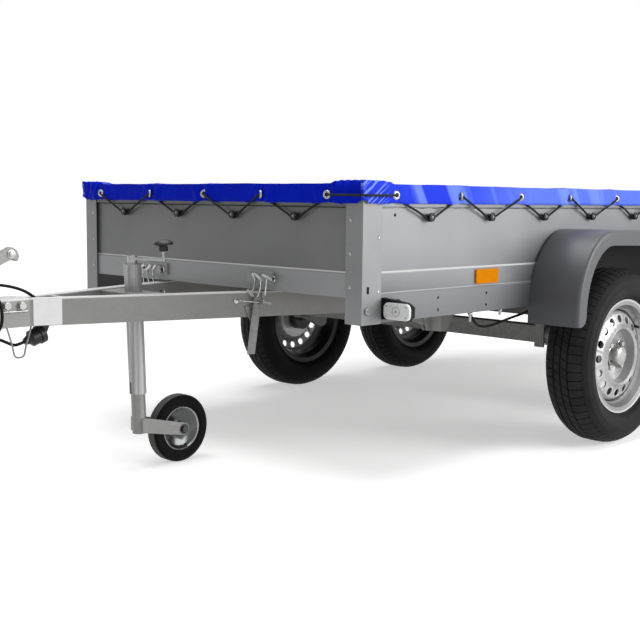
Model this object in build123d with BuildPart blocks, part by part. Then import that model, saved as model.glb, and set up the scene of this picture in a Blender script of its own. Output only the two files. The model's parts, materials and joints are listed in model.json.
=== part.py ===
from build123d import *
from math import atan, cos, degrees, radians, sin, tan
import os

os.makedirs("parts", exist_ok=True)

# Tandem-axle tilting box trailer, in millimetres. +Z is up, the coupling points to -Y, and the origin is on
# the ground under the middle of the whole trailer. "left" is the trailer's own left, on +X.

# ---- driving dimensions ---------------------------------------------------------------------------------
coupling_reach = 912      # coupling's nose ahead of the front panel
box_length = 2650         # over the corner posts
rear_overhang = 36        # rear lamps behind the corner posts
box_width = 1250          # over the corner posts

sheet = 2.5               # folded steel sheet of the panels
post_sheet = 3            # corner posts
wall_depth = 30           # top rails of the walls
rail_height = 57
wall_top = 805            # top of the walls above the ground
sill_z = 448              # underside of the sills
sill_height = 64
sill_depth = 40
step_zs = (574, 519)      # two small steps that stiffen the side panels
step_out = 4              # each step comes out by this
step_rise = 6
floor_thickness = 12

post_front_leg = 59
post_side_leg = 75
post_rear_leg = 30
post_drop = 3             # posts reach below the sills
member_width = 40         # cross members under the floor

wheel_clearance = 13      # tyre's inner wall outside the corner posts
tandem_shift = 100        # middle between the axles behind the body's middle
wheel_spacing = 696
tyre_radius = 279.5
tyre_width = 156
rim_radius = 182          # edge of the rim's flange
rim_width = 112           # over the flanges
vent_count = 16           # round holes in the wheel disc
vent_radius = 12
vent_circle = 119         # radius of the circle of vent holes

axle_tube = 54
axle_lead = 127           # tube ahead of the wheel centre
axle_rise = 62            # tube above the wheel centre
lever_inset = 46          # inner face of the suspension lever inside the side panel
lever_thickness = 22
saddle_inset = 67         # middle of an axle's saddle from the outside of the posts
saddle_length = 34
saddle_sheet = 6
saddle_drop = 13          # cheeks reach below the tube
stub_radius = 12
hub_radius = 48
hub_length = 62
hub_face = 12             # front of the hub, outside the wheel's middle plane
running_gap = 0.05        # radial clearance of shafts in their bores

guard_clearance = 3       # outer side of the mudguards outside the tyre
guard_wall = 4
guard_lip = 46            # width of the band down the mudguard's outer side
guard_top_z = 681
guard_dip = 12            # the long top sinks by this to its middle
guard_foot_z = 397
guard_foot_half = 672     # half the mudguard's length at its feet
guard_bend_length = 192   # each end is a quarter of an ellipse over a short upright foot
guard_bend_height = 250
guard_edge = 12           # rounding of the outer edge
guard_flange = 22         # flange that is riveted to the side panel

arm_width = 40
arm_height = 70
arm_top_z = 507
arm_wall = 3
nose_length = 122         # coupling's nose ahead of the arms
neck_length = 189         # straight front end of the arms
arm_spread = 240          # outer face of an arm from the centre line, under the front panel
arm_rear = 500            # rear end of the arms behind the front panel
pivot_y = 600             # tilt pivot, behind the front panel
pivot_z = 395
pivot_inset = 34          # middle of a pivot lug inside the arm's outer rear corner
pivot_member_lead = 50    # cross member ahead of the pivot
pivot_radius = 8
lug_thickness = 8
lug_radius = 22
bracket_sheet = 5
bracket_ahead = 12        # bracket's front plate ahead of the pivot
lug_gap = 5               # beside the lug in the front plate's slot

jockey_y = -254           # jockey column at the height of the arms, from the front panel
jockey_lean = 2.4         # degrees, the column's head is further forward than its foot
jockey_radius = 24
jockey_wall = 3
inner_radius = 20
jockey_wheel_trail = 131  # wheel centre behind the column's foot
jockey_tyre_radius = 98.5
jockey_tyre_width = 42

tarp_sheet = 4
tarp_gap = 0.3
hem_z = 755               # lower edge of the tarpaulin's hem
hook_z = 720
hook_first = 269          # first side hook behind the front panel
hook_pitch = 276.5
hook_reach = 20
front_hook_xs = (-403, -129, 124, 378)

gate_top = 797
gate_gap = 6
hinge_radius = 7
hinge_pin_radius = 4
hinge_xs = (-420, 0, 420)
knuckle = 30              # length of one hinge knuckle

front_lamp_reach = 98     # outer end of the front lamps outside the corner posts
front_lamp_z = 481
front_lens_width = 87
front_lens_height = 44
lamp_base_depth = 14
marker_insets = (538, 350)   # middle of the side markers from the front and the rear of the body
marker_z = 550
rear_bar_foot = 334       # lower edge of the bar that carries the rear lamps
rear_bar_inset = 20       # end of that bar inside the corner posts
rear_lamp_inset = 130     # middle of a rear lamp inside the corner posts
rear_lamp_width = 226
rear_lamp_height = 104
rear_lamp_depth = 26

ball_z = 480
ball_radius = 25
ear_top = 537
coupling_dome = 38        # outer radius of the dome over the ball
coupling_cover = 184      # length of the coupling's cover on the neck
apex_setback = 101        # plate between the arms, behind the bend of the neck
latch_z = 547
rod_z = 479
rod_radius = 5
rod_ahead = 17            # latch rod ahead of the front panel
rod_half = 42             # rod inside the arm's middle, and its longer end outside
rod_outer = 70
leg_offset = 30           # legs of a latch from its middle
lever_foot_z = 335        # foot of the lever that opens the latches
lever_width = 22
lever_swing = 20          # the foot is ahead of the rod by this
sill_hole_y = 314         # pair of open bolt holes in each sill, behind the front panel
sill_hole_zs = (466, 500)
sill_hole_radius = 4.5

plug_x = 8
plug_radius = 21.5
plug_tilt = radians(20)
gland_z = 487
lead_radius = 4
coil_half_x = 68          # middle of the lead's turns round the neck
coil_half_z = 58
coil_width = 40

tube_foot = 217           # lower end of the jockey wheel's outer tube
tube_top = 582
crank_reach = 122
knob_foot = 39            # knob above the tube's top
fork_foot = 103
fork_top = 145
fork_plate_z = 127        # middle of the fork's plates at the column
fork_plate_height = 40

# ---- sizes worked out from them --------------------------------------------------------------------------
front_y = coupling_reach - (coupling_reach + box_length + rear_overhang) / 2
rear_y = front_y + box_length
half_width = box_width / 2
panel_x = half_width - post_sheet
floor_z = sill_z + sill_height
wheel_x = half_width + wheel_clearance + tyre_width / 2
wheel_z = tyre_radius
tandem_y = (front_y + rear_y) / 2 + tandem_shift
wheel_ys = (tandem_y - wheel_spacing / 2, tandem_y + wheel_spacing / 2)
guard_outer_x = wheel_x + tyre_width / 2 + guard_clearance
lever_x = panel_x - lever_inset
arm_bottom_z = arm_top_z - arm_height
arm_middle_z = arm_top_z - arm_height / 2
neck_front = coupling_reach - nose_length
neck_rear = neck_front - neck_length
arm_slope = (arm_spread - arm_width) / neck_rear
arm_angle = atan(arm_slope)
arm_skew_width = arm_width / cos(arm_angle)
apex_plate_y = apex_setback - neck_rear
sides = (("left", 1), ("right", -1))


def across(y):
    """Plane across the trailer at y, with local x along +X and local y up."""
    return Plane(origin=(0, y, 0), x_dir=(1, 0, 0), z_dir=(0, -1, 0))


def along(x):
    """Plane along the trailer at x, with local x along +Y and local y up."""
    return Plane(origin=(x, 0, 0), x_dir=(0, 1, 0), z_dir=(1, 0, 0))


def arm_outer(y):
    """Outer face of the left arm at y, a distance behind the front panel."""
    return arm_spread + arm_slope * y


def save(piece, label):
    piece.part.label = label
    export_step(piece.part, f"parts/{label}.step")


# ---- bed: walls ------------------------------------------------------------------------------------------
web_x = panel_x - 2 * step_out
side_start = front_y + post_sheet
side_run = box_length - 2 * post_sheet
for side, s in sides:
    skin = [
        (s * web_x, wall_top - rail_height),
        (s * web_x, step_zs[0] + step_rise),
        (s * (web_x + step_out), step_zs[0]),
        (s * (web_x + step_out), step_zs[1] + step_rise),
        (s * panel_x, step_zs[1]),
        (s * panel_x, sill_z),
        (s * (panel_x - sill_depth), sill_z),
    ]
    with BuildPart() as side_panel:
        with BuildSketch(across(side_start)):
            with BuildLine():
                Polyline(*skin)
                offset(amount=sheet, side=Side.RIGHT if s > 0 else Side.LEFT)
            make_face()
            with Locations((s * (panel_x - sill_depth / 2 - sheet / 2), floor_z - sheet / 2)):
                Rectangle(sill_depth - sheet, sheet)
            with Locations((s * (panel_x - wall_depth / 2), wall_top - rail_height / 2)):
                Rectangle(wall_depth, rail_height)
                Rectangle(wall_depth - 2 * sheet, rail_height - 2 * sheet, mode=Mode.SUBTRACT)
        extrude(amount=-side_run)
        with BuildSketch(along(s * panel_x)):
            for z in sill_hole_zs:
                with Locations((front_y + sill_hole_y, z)):
                    Circle(sill_hole_radius)
        extrude(amount=-s * 2 * sheet, mode=Mode.SUBTRACT)
    save(side_panel, f"side_panel_{side}")

front_half = panel_x - wall_depth
with BuildPart() as front_panel:
    with BuildSketch(along(-front_half)):
        face_y = front_y + post_sheet
        with BuildLine():
            Polyline(
                (face_y + 2 * step_out, wall_top - rail_height),
                (face_y + 2 * step_out, step_zs[0] + step_rise),
                (face_y + step_out, step_zs[0]),
                (face_y + step_out, floor_z),
                (face_y + wall_depth, floor_z),
            )
            offset(amount=sheet, side=Side.LEFT)
        make_face()
        with Locations((face_y + wall_depth / 2, wall_top - rail_height / 2)):
            Rectangle(wall_depth, rail_height)
            Rectangle(wall_depth - 2 * sheet, rail_height - 2 * sheet, mode=Mode.SUBTRACT)
    extrude(amount=2 * front_half)
save(front_panel, "front_panel")

# Each post is an angle: one leg across the trailer and one along it.
post_z = sill_z - post_drop
with BuildPart() as corner_posts:
    with BuildSketch(Plane.XY.offset(post_z)):
        for end_y, into, leg in ((front_y, 1, post_front_leg), (rear_y, -1, post_rear_leg)):
            for _, s in sides:
                with Locations((s * (half_width - leg / 2), end_y + into * post_sheet / 2)):
                    Rectangle(leg, post_sheet)
                with Locations((s * (half_width - post_sheet / 2), end_y + into * post_side_leg / 2)):
                    Rectangle(post_sheet, post_side_leg)
    extrude(amount=wall_top - post_z)
save(corner_posts, "corner_posts")

floor_front = front_y + post_sheet + wall_depth
floor_rear = rear_y - post_sheet - wall_depth - gate_gap
with BuildPart() as floor_board:
    with BuildSketch(Plane.XY.offset(floor_z)):
        with Locations((0, (floor_front + floor_rear) / 2)):
            Rectangle(2 * (panel_x - step_out - sheet - 1), floor_rear - floor_front)
    extrude(amount=floor_thickness)
save(floor_board, "floor_board")

# ---- bed: underframe -------------------------------------------------------------------------------------
member_half = panel_x - sill_depth
axle_ys = [y - axle_lead for y in wheel_ys]
axle_z = wheel_z + axle_rise
pivot_member_y = front_y + pivot_y - pivot_member_lead
member_ys = [pivot_member_y, axle_ys[0], (axle_ys[0] + axle_ys[1]) / 2, axle_ys[1], axle_ys[1] + 400]
with BuildPart() as cross_members:
    with BuildSketch(along(-member_half)):
        for y in member_ys:
            with Locations((y, sill_z + sill_height / 2)):
                Rectangle(member_width, sill_height)
            with Locations((y + sheet, sill_z + sill_height / 2)):
                Rectangle(member_width, sill_height - 2 * sheet, mode=Mode.SUBTRACT)
    extrude(amount=2 * member_half)
save(cross_members, "cross_members")

rear_sill_y = rear_y - post_sheet - 2
gate_face_y = rear_y - post_sheet
hinge_y = gate_face_y + hinge_radius
hinge_z = floor_z - 12
with BuildPart() as rear_sill:
    with BuildSketch(along(-member_half)):
        with Locations((rear_sill_y - 27, sill_z + sill_height / 2)):
            Rectangle(54, sill_height)
        with Locations((rear_sill_y - 27 - sheet, sill_z + sill_height / 2)):
            Rectangle(54, sill_height - 2 * sheet, mode=Mode.SUBTRACT)
    extrude(amount=2 * member_half)
    for x in hinge_xs:
        for end in (-1, 1):
            with BuildSketch(along(x + end * knuckle - knuckle / 2 + 0.5)):
                with Locations((hinge_y, hinge_z)):
                    Circle(hinge_radius)
                with Locations(((rear_sill_y + hinge_y) / 2, hinge_z - 4)):
                    Rectangle(hinge_y - rear_sill_y, 6)
            extrude(amount=knuckle - 1)
        with BuildSketch(along(x - 1.5 * knuckle + 0.5)):
            with Locations((hinge_y, hinge_z)):
                Circle(hinge_pin_radius)
        extrude(amount=3 * knuckle - 1)
save(rear_sill, "rear_sill")

pivot_world_y = front_y + pivot_y
pivot_x = arm_outer(arm_rear) - pivot_inset
with BuildPart() as pivot_brackets:
    for _, s in sides:
        for off in (-1, 1):
            inner = s * pivot_x + off * (lug_thickness / 2 + 1 + bracket_sheet / 2) - bracket_sheet / 2
            with BuildSketch(along(inner)):
                with BuildLine():
                    Polyline(
                        (pivot_world_y - 70, sill_z),
                        (pivot_world_y - 32, pivot_z - 30),
                        (pivot_world_y + 38, pivot_z - 30),
                        (pivot_world_y + 70, sill_z),
                        close=True,
                    )
                make_face()
            extrude(amount=bracket_sheet)
        with BuildSketch(along(s * pivot_x - lug_thickness / 2 - 1 - bracket_sheet - 5)):
            with Locations((pivot_world_y, pivot_z)):
                Circle(pivot_radius)
        extrude(amount=lug_thickness + 2 + 2 * bracket_sheet + 10)
        # The front of the bracket is a plate with a slot for the lug, and its outer end is folded back.
        with BuildSketch(across(pivot_world_y - bracket_ahead)):
            with BuildLine():
                Polyline(
                    (s * (pivot_x - 94), sill_z),
                    (s * (pivot_x + 48), sill_z),
                    (s * (pivot_x + 48), pivot_z - 30),
                    (s * (pivot_x + 5), pivot_z - 30),
                    close=True,
                )
            make_face()
            with Locations((s * pivot_x, pivot_z)):
                Rectangle(lug_thickness + 2 * lug_gap, 2 * (sill_z - pivot_z), mode=Mode.SUBTRACT)
        extrude(amount=bracket_sheet)
        with BuildSketch(along(s * (pivot_x + 48) - (bracket_sheet if s > 0 else 0))):
            with BuildLine():
                Polyline(
                    (pivot_world_y - bracket_ahead, sill_z),
                    (pivot_world_y - bracket_ahead, pivot_z - 30),
                    (pivot_world_y + 16, pivot_z - 30),
                    (pivot_world_y + 79, sill_z),
                    close=True,
                )
            make_face()
        extrude(amount=bracket_sheet)
        with Locations((s * (pivot_x - 23), pivot_world_y, sill_z - bracket_sheet / 2)):
            Box(142, 140, bracket_sheet)
save(pivot_brackets, "pivot_brackets")

# Rubber torsion axles: a square tube, a trailing lever at each end and the stub that carries the hub.
saddle_x = half_width - saddle_inset
cheek_foot_z = axle_z - axle_tube / 2 - saddle_drop
for name, wheel_y, tube_y in zip(("front", "rear"), wheel_ys, axle_ys):
    with BuildPart() as axle:
        with BuildSketch(along(-lever_x)):
            with Locations((tube_y, axle_z)):
                Rectangle(axle_tube, axle_tube)
                Rectangle(axle_tube - 8, axle_tube - 8, mode=Mode.SUBTRACT)
        extrude(amount=2 * lever_x)
        for _, s in sides:
            with BuildSketch(along(s * lever_x)):
                with Locations((tube_y, axle_z)):
                    Circle(axle_tube / 2 + 4)
                with Locations((wheel_y, wheel_z)):
                    Circle(27)
                make_hull()
            extrude(amount=s * lever_thickness)
            with BuildSketch(along(s * (lever_x + lever_thickness))):
                with Locations((wheel_y, wheel_z)):
                    Circle(stub_radius)
            extrude(amount=s * (wheel_x + hub_face - 4 - lever_x - lever_thickness))
            for face in (-1, 1):
                cheek_y = tube_y + face * (axle_tube + saddle_sheet) / 2
                with Locations((s * saddle_x, cheek_y, (sill_z + cheek_foot_z) / 2)):
                    Box(saddle_length, saddle_sheet, sill_z - cheek_foot_z)
            with Locations((s * saddle_x, tube_y, sill_z - saddle_sheet / 2)):
                Box(saddle_length, axle_tube, saddle_sheet)
    save(axle, f"axle_{name}")

# ---- bed: mudguards --------------------------------------------------------------------------------------
# Plan of the cuts that hollow the guard: name, how far in from its outline, from x, to x.
guard_cuts = (
    (guard_flange, panel_x, panel_x + guard_wall),
    (guard_wall, panel_x + guard_wall, guard_outer_x - guard_wall),
    (guard_lip, guard_outer_x - guard_wall, guard_outer_x),
)
guard_bend_z = guard_top_z - guard_bend_height
for side, s in sides:
    with BuildPart() as mudguard:
        for inset, from_x, to_x in ((0, panel_x, guard_outer_x),) + guard_cuts:
            foot = guard_foot_half - inset
            with BuildSketch(along(s * from_x)):
                with BuildLine():
                    for end, from_angle in ((-1, 90), (1, 0)):
                        Line(
                            (tandem_y + end * foot, guard_foot_z),
                            (tandem_y + end * foot, guard_bend_z),
                        )
                        EllipticalCenterArc(
                            (tandem_y + end * (guard_foot_half - guard_bend_length), guard_bend_z),
                            guard_bend_length - inset, guard_bend_height - inset,
                            start_angle=from_angle, arc_size=90,
                        )
                        Line(
                            (tandem_y + end * (guard_foot_half - guard_bend_length), guard_top_z - inset),
                            (tandem_y, guard_top_z - guard_dip - inset),
                        )
                    Line((tandem_y + foot, guard_foot_z), (tandem_y - foot, guard_foot_z))
                make_face()
            extrude(amount=s * (to_x - from_x), mode=Mode.SUBTRACT if inset else Mode.ADD)
            if not inset:
                rim_face = mudguard.faces().sort_by(Axis.X)[-1 if s > 0 else 0]
                fillet(rim_face.edges().filter_by(lambda e: e.center().Z > guard_foot_z + 1), guard_edge)
    save(mudguard, f"mudguard_{side}")

# ---- bed: tarpaulin --------------------------------------------------------------------------------------
tarp_z = wall_top + tarp_gap
tarp_half = half_width + tarp_gap
tarp_front = front_y - tarp_gap
tarp_rear = rear_y + tarp_gap
tarp_length = tarp_rear - tarp_front + tarp_sheet
with BuildPart() as tarp:
    with Locations((0, tarp_front - tarp_sheet, hem_z)):
        Box(
            2 * (tarp_half + tarp_sheet), tarp_length, tarp_z + tarp_sheet - hem_z,
            align=(Align.CENTER, Align.MIN, Align.MIN),
        )
    fillet(tarp.edges().filter_by(Axis.Z).group_by(Axis.Y)[0], tarp_sheet)
    with Locations((0, tarp_front, hem_z)):
        Box(
            2 * tarp_half, tarp_length, tarp_z - hem_z,
            align=(Align.CENTER, Align.MIN, Align.MIN), mode=Mode.SUBTRACT,
        )
save(tarp, "tarp")

with BuildPart() as tarp_rear_flap:
    with Locations((0, tarp_rear, hem_z)):
        Box(
            2 * (tarp_half + tarp_sheet), tarp_sheet, tarp_z + tarp_sheet - hem_z,
            align=(Align.CENTER, Align.MIN, Align.MIN),
        )
save(tarp_rear_flap, "tarp_rear_flap")

# A hook is a turned knob: foot, neck and a head that the lacing is caught behind.
hook_points = [(0, 0), (9, 0), (5, 5), (5, hook_reach - 6), (11, hook_reach - 2), (0, hook_reach)]
hook_spaces = round((box_length - 2 * hook_first) / hook_pitch)
side_hook_ys = [front_y + hook_first + hook_pitch * row for row in range(hook_spaces + 1)]
hook_seats = [Plane((x, face_y + 2 * step_out, hook_z), x_dir=(1, 0, 0), z_dir=(0, -1, 0)) for x in front_hook_xs]
for _, s in sides:
    for y in side_hook_ys:
        hook_seats.append(Plane((s * web_x, y, hook_z), x_dir=(0, 1, 0), z_dir=(s, 0, 0)))
with BuildPart() as tarp_hooks:
    for seat in hook_seats:
        with BuildSketch(Plane(seat.origin, x_dir=seat.x_dir, z_dir=-seat.y_dir)):
            with BuildLine():
                Polyline(*hook_points, close=True)
            make_face()
        revolve(axis=Axis(seat.origin, seat.z_dir))
save(tarp_hooks, "tarp_hooks")

# ---- bed: lamps ------------------------------------------------------------------------------------------
lamp_face_y = front_y + 80
front_lamp_x = half_width + front_lamp_reach
base_half = front_lens_height / 2 + 2
with BuildPart() as front_lamp_bases:
    for _, s in sides:
        with BuildSketch(across(lamp_face_y + lamp_base_depth)):
            with BuildLine():
                Polyline(
                    (s * panel_x, front_lamp_z + base_half + 8),
                    (s * (front_lamp_x - 18), front_lamp_z + base_half),
                    (s * front_lamp_x, front_lamp_z + base_half - 10),
                    (s * front_lamp_x, front_lamp_z - base_half + 12),
                    (s * (front_lamp_x - 13), front_lamp_z - base_half),
                    (s * panel_x, front_lamp_z - base_half),
                    close=True,
                )
            make_face()
        extrude(amount=lamp_base_depth)
        with BuildSketch(Plane.XY.offset(front_lamp_z - base_half)):
            with BuildLine():
                Polyline(
                    (s * panel_x, lamp_face_y + lamp_base_depth - 1),
                    (s * (panel_x + 62), lamp_face_y + lamp_base_depth - 1),
                    (s * panel_x, lamp_face_y + 70),
                    close=True,
                )
            make_face()
        extrude(amount=2 * base_half)
save(front_lamp_bases, "front_lamp_bases")

with BuildPart() as front_lamp_lenses:
    for _, s in sides:
        with BuildSketch(across(lamp_face_y)):
            with Locations((s * (front_lamp_x - front_lens_width / 2 - 1), front_lamp_z)):
                lens = Rectangle(front_lens_width, front_lens_height)
            chamfer(lens.vertices(), 13)
        extrude(amount=9)
save(front_lamp_lenses, "front_lamp_lenses")

marker_x = web_x + step_out
marker_ys = (front_y + marker_insets[0], rear_y - marker_insets[1])
with BuildPart() as side_markers:
    for _, s in sides:
        for y in marker_ys:
            with BuildSketch(along(s * marker_x)):
                with Locations((y, marker_z)):
                    RectangleRounded(106, 41, 4)
            extrude(amount=s * 6)
save(side_markers, "side_markers")

bar_y = rear_sill_y - 20
with BuildPart() as rear_bar:
    with Locations((0, bar_y, (sill_z + rear_bar_foot) / 2)):
        Box(2 * (half_width - rear_bar_inset), 4, sill_z - rear_bar_foot)
    with Locations((0, bar_y - 18, sill_z - 2)):
        Box(2 * (member_half - 2), 40, 4)
save(rear_bar, "rear_bar")

with BuildPart() as rear_lamps:
    for _, s in sides:
        with BuildSketch(across(bar_y + 2)):
            with Locations((s * (half_width - rear_lamp_inset), (sill_z + rear_bar_foot) / 2)):
                RectangleRounded(rear_lamp_width, rear_lamp_height, 10)
        extrude(amount=-rear_lamp_depth)
save(rear_lamps, "rear_lamps")

with BuildPart() as rear_lenses:
    for _, s in sides:
        with BuildSketch(across(bar_y + 2 + rear_lamp_depth)):
            with Locations((s * (half_width - rear_lamp_inset), (sill_z + rear_bar_foot) / 2)):
                RectangleRounded(rear_lamp_width - 8, rear_lamp_height - 8, 8)
        extrude(amount=-(rear_y + rear_overhang - bar_y - 2 - rear_lamp_depth))
save(rear_lenses, "rear_lenses")

# ---- bed: latch catches ----------------------------------------------------------------------------------
catch_face = face_y + step_out
latch_x = arm_outer(-rod_ahead) - arm_skew_width / 2
catch_width = 108
catch_shift = 26          # middle of the catch plate outside the latch
with BuildPart() as latch_catches:
    for _, s in sides:
        with Locations((s * (latch_x + catch_shift), (catch_face + front_y - 1) / 2, latch_z)):
            Box(catch_width, catch_face - front_y + 1, 34)
        with BuildSketch(along(s * latch_x - 12)):
            with BuildLine():
                Polyline(
                    (front_y - 1, latch_z - 13), (front_y - 13, latch_z - 13), (front_y - 13, latch_z + 9),
                    (front_y - 10, latch_z + 9), (front_y - 10, latch_z - 9), (front_y - 1, latch_z - 9),
                    close=True,
                )
            make_face()
        extrude(amount=24)
save(latch_catches, "latch_catches")

# ---- tailgate --------------------------------------------------------------------------------------------
gate_half = panel_x - wall_depth - gate_gap
gate_bottom = floor_z + gate_gap
with BuildPart() as tailgate:
    with BuildSketch(along(-gate_half)):
        with BuildLine():
            Polyline(
                (gate_face_y - 2 * step_out, gate_top - rail_height + gate_gap),
                (gate_face_y - 2 * step_out, step_zs[0] + step_rise + 6),
                (gate_face_y, step_zs[0] + 6),
                (gate_face_y, gate_bottom),
                (gate_face_y - wall_depth, gate_bottom),
            )
            offset(amount=sheet, side=Side.RIGHT)
        make_face()
        with Locations((gate_face_y - wall_depth / 2, gate_top - rail_height / 2 + gate_gap / 2)):
            Rectangle(wall_depth, rail_height - gate_gap)
            Rectangle(wall_depth - 2 * sheet, rail_height - gate_gap - 2 * sheet, mode=Mode.SUBTRACT)
    extrude(amount=2 * gate_half)
    for x in hinge_xs:
        with BuildSketch(along(x - knuckle / 2 + 0.5)):
            with Locations((hinge_y, hinge_z)):
                Circle(hinge_radius)
            with Locations((gate_face_y + 1.5, hinge_z + 29)):
                Rectangle(3, 58)
            with Locations((hinge_y, hinge_z)):
                Circle(hinge_pin_radius + running_gap, mode=Mode.SUBTRACT)
        extrude(amount=knuckle - 1)
save(tailgate, "tailgate")

with BuildPart() as tailgate_hooks:
    for x in front_hook_xs:
        with BuildSketch(Plane((x, gate_face_y - 2 * step_out, hook_z), x_dir=(1, 0, 0), z_dir=(0, 0, 1))):
            with BuildLine():
                Polyline(*hook_points, close=True)
            make_face()
        revolve(axis=Axis((x, gate_face_y - 2 * step_out, hook_z), (0, 1, 0)))
save(tailgate_hooks, "tailgate_hooks")

# ---- drawbar ---------------------------------------------------------------------------------------------
inner_bend = (arm_skew_width - arm_spread) / arm_slope
for side, s in sides:
    outer_rear = arm_outer(arm_rear)
    inner_rear = outer_rear - arm_skew_width
    with BuildPart() as arm:
        with BuildSketch(Plane.XY.offset(arm_bottom_z)):
            with BuildLine():
                Polyline(
                    (0, front_y - neck_front),
                    (s * arm_width, front_y - neck_front),
                    (s * arm_width, front_y - neck_rear),
                    (s * outer_rear, front_y + arm_rear),
                    (s * inner_rear, front_y + arm_rear),
                    (0, front_y + inner_bend),
                    close=True,
                )
            make_face()
        extrude(amount=arm_height)
        with BuildSketch(Plane.XY.offset(arm_bottom_z + arm_wall)):
            wall_x = arm_wall / cos(arm_angle)
            with BuildLine():
                Polyline(
                    (s * arm_wall, front_y - neck_front),
                    (s * (arm_width - arm_wall), front_y - neck_front),
                    (s * (arm_width - arm_wall), front_y - neck_rear),
                    (s * (outer_rear - wall_x), front_y + arm_rear),
                    (s * (inner_rear + wall_x), front_y + arm_rear),
                    (s * arm_wall, front_y + inner_bend),
                    close=True,
                )
            make_face()
        extrude(amount=arm_height - 2 * arm_wall, mode=Mode.SUBTRACT)
        with BuildSketch(along(s * pivot_x - lug_thickness / 2)):
            with Locations((pivot_world_y, pivot_z)):
                Circle(lug_radius)
            with BuildLine():
                Polyline(
                    (front_y + arm_rear - 120, arm_bottom_z),
                    (front_y + arm_rear, arm_bottom_z),
                    (pivot_world_y + 6, pivot_z + lug_radius - 1),
                    (pivot_world_y - 6, pivot_z - lug_radius + 1),
                    close=True,
                )
            make_face()
            with Locations((pivot_world_y, pivot_z)):
                Circle(pivot_radius + running_gap, mode=Mode.SUBTRACT)
        extrude(amount=lug_thickness)
        with BuildSketch(along(s * latch_x - 40)):
            with Locations((front_y - rod_ahead, rod_z)):
                Circle(rod_radius + running_gap)
        extrude(amount=80, mode=Mode.SUBTRACT)
    save(arm, f"drawbar_arm_{side}")

# The jockey column stands on this plane, which leans with it; local x is along +X.
lean = radians(jockey_lean)
column_foot_y = front_y + jockey_y + arm_middle_z * tan(lean)
column = Plane(origin=(0, column_foot_y, 0), x_dir=(1, 0, 0), z_dir=(0, -sin(lean), cos(lean)))
column_section = Plane(origin=column.origin, x_dir=(1, 0, 0), z_dir=-column.y_dir)
column_axis = Axis(column.origin, column.z_dir)
with BuildPart() as cross_bar:
    for y, depth, low, high in (
        (jockey_y, 84, arm_bottom_z + 5, arm_top_z - 3),
        (apex_plate_y, 6, arm_bottom_z, arm_top_z),
    ):
        with BuildSketch(Plane.XY.offset(low)):
            with BuildLine():
                front_x = arm_outer(y - depth / 2) - arm_skew_width
                back_x = arm_outer(y + depth / 2) - arm_skew_width
                Polyline(
                    (-front_x, front_y + y - depth / 2),
                    (front_x, front_y + y - depth / 2),
                    (back_x, front_y + y + depth / 2),
                    (-back_x, front_y + y + depth / 2),
                    close=True,
                )
            make_face()
        extrude(amount=high - low)
    with BuildSketch(column.offset(arm_bottom_z - arm_height)):
        Circle(jockey_radius + running_gap)
    extrude(amount=3 * arm_height, mode=Mode.SUBTRACT)
save(cross_bar, "cross_bar")

ball_y = front_y - coupling_reach + coupling_dome
with BuildPart() as coupling_head:
    with BuildSketch(across(front_y - neck_front + coupling_cover)):
        with Locations((0, arm_top_z - 14)):
            Rectangle(2 * (arm_width + 3), 34)
        with Locations((0, arm_top_z - 20)):
            Rectangle(2 * arm_width, 40, mode=Mode.SUBTRACT)
    extrude(amount=coupling_cover)
    with BuildSketch(Plane.XY.offset(ball_z - 34)):
        with Locations((0, ball_y)):
            Circle(coupling_dome - 1)
        with Locations((0, front_y - neck_front - 2)):
            Rectangle(2 * (arm_width + 3), 4)
        make_hull()
    extrude(amount=60)
    with Locations((0, ball_y, ball_z)):
        Sphere(coupling_dome)
        Sphere(ball_radius + 0.5, mode=Mode.SUBTRACT)
        Cylinder(
            ball_radius + 0.5, 60, align=(Align.CENTER, Align.CENTER, Align.MAX), mode=Mode.SUBTRACT,
        )
    with Locations((0, front_y - neck_front - 13, ball_z + 40)):
        Box(20, 24, 2 * (ear_top - ball_z - 40))
save(coupling_head, "coupling_head")

neck_y = front_y - neck_front
handle_points = [
    (neck_y - 27, ear_top), (neck_y - 8, ear_top), (neck_y + 75, ball_z + 92), (neck_y + 161, ball_z + 128),
    (neck_y + 172, ball_z + 121), (neck_y + 178, ball_z + 133), (neck_y + 172, ball_z + 149),
    (neck_y + 159, ball_z + 157), (neck_y + 75, ball_z + 118), (neck_y - 27, ear_top + 14),
]
with BuildPart() as coupling_handle:
    with BuildSketch(along(-14)):
        with BuildLine():
            Polyline(*handle_points, close=True)
        make_face()
    extrude(amount=28)
save(coupling_handle, "coupling_handle")

# ---- drawbar: tilt latches -------------------------------------------------------------------------------
rod_y = front_y - rod_ahead
with BuildPart() as tilt_latches:
    for _, s in sides:
        for leg in (-1, 1):
            with BuildSketch(along(s * latch_x + leg * leg_offset - 3)):
                with BuildLine():
                    Polyline(
                        (rod_y - 4, rod_z - 8), (rod_y + 4, rod_z - 8), (front_y - 16.5, latch_z + 12),
                        (front_y - 23.5, latch_z + 12), close=True,
                    )
                make_face()
            extrude(amount=6)
        with BuildSketch(along(s * (latch_x - rod_half))):
            with Locations((rod_y, rod_z)):
                Circle(rod_radius)
        extrude(amount=s * (rod_half + rod_outer))
        with Locations((s * latch_x, front_y - 20, latch_z + 9)):
            Box(2 * leg_offset + 6, 7, 7)
save(tilt_latches, "tilt_latches")

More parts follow.
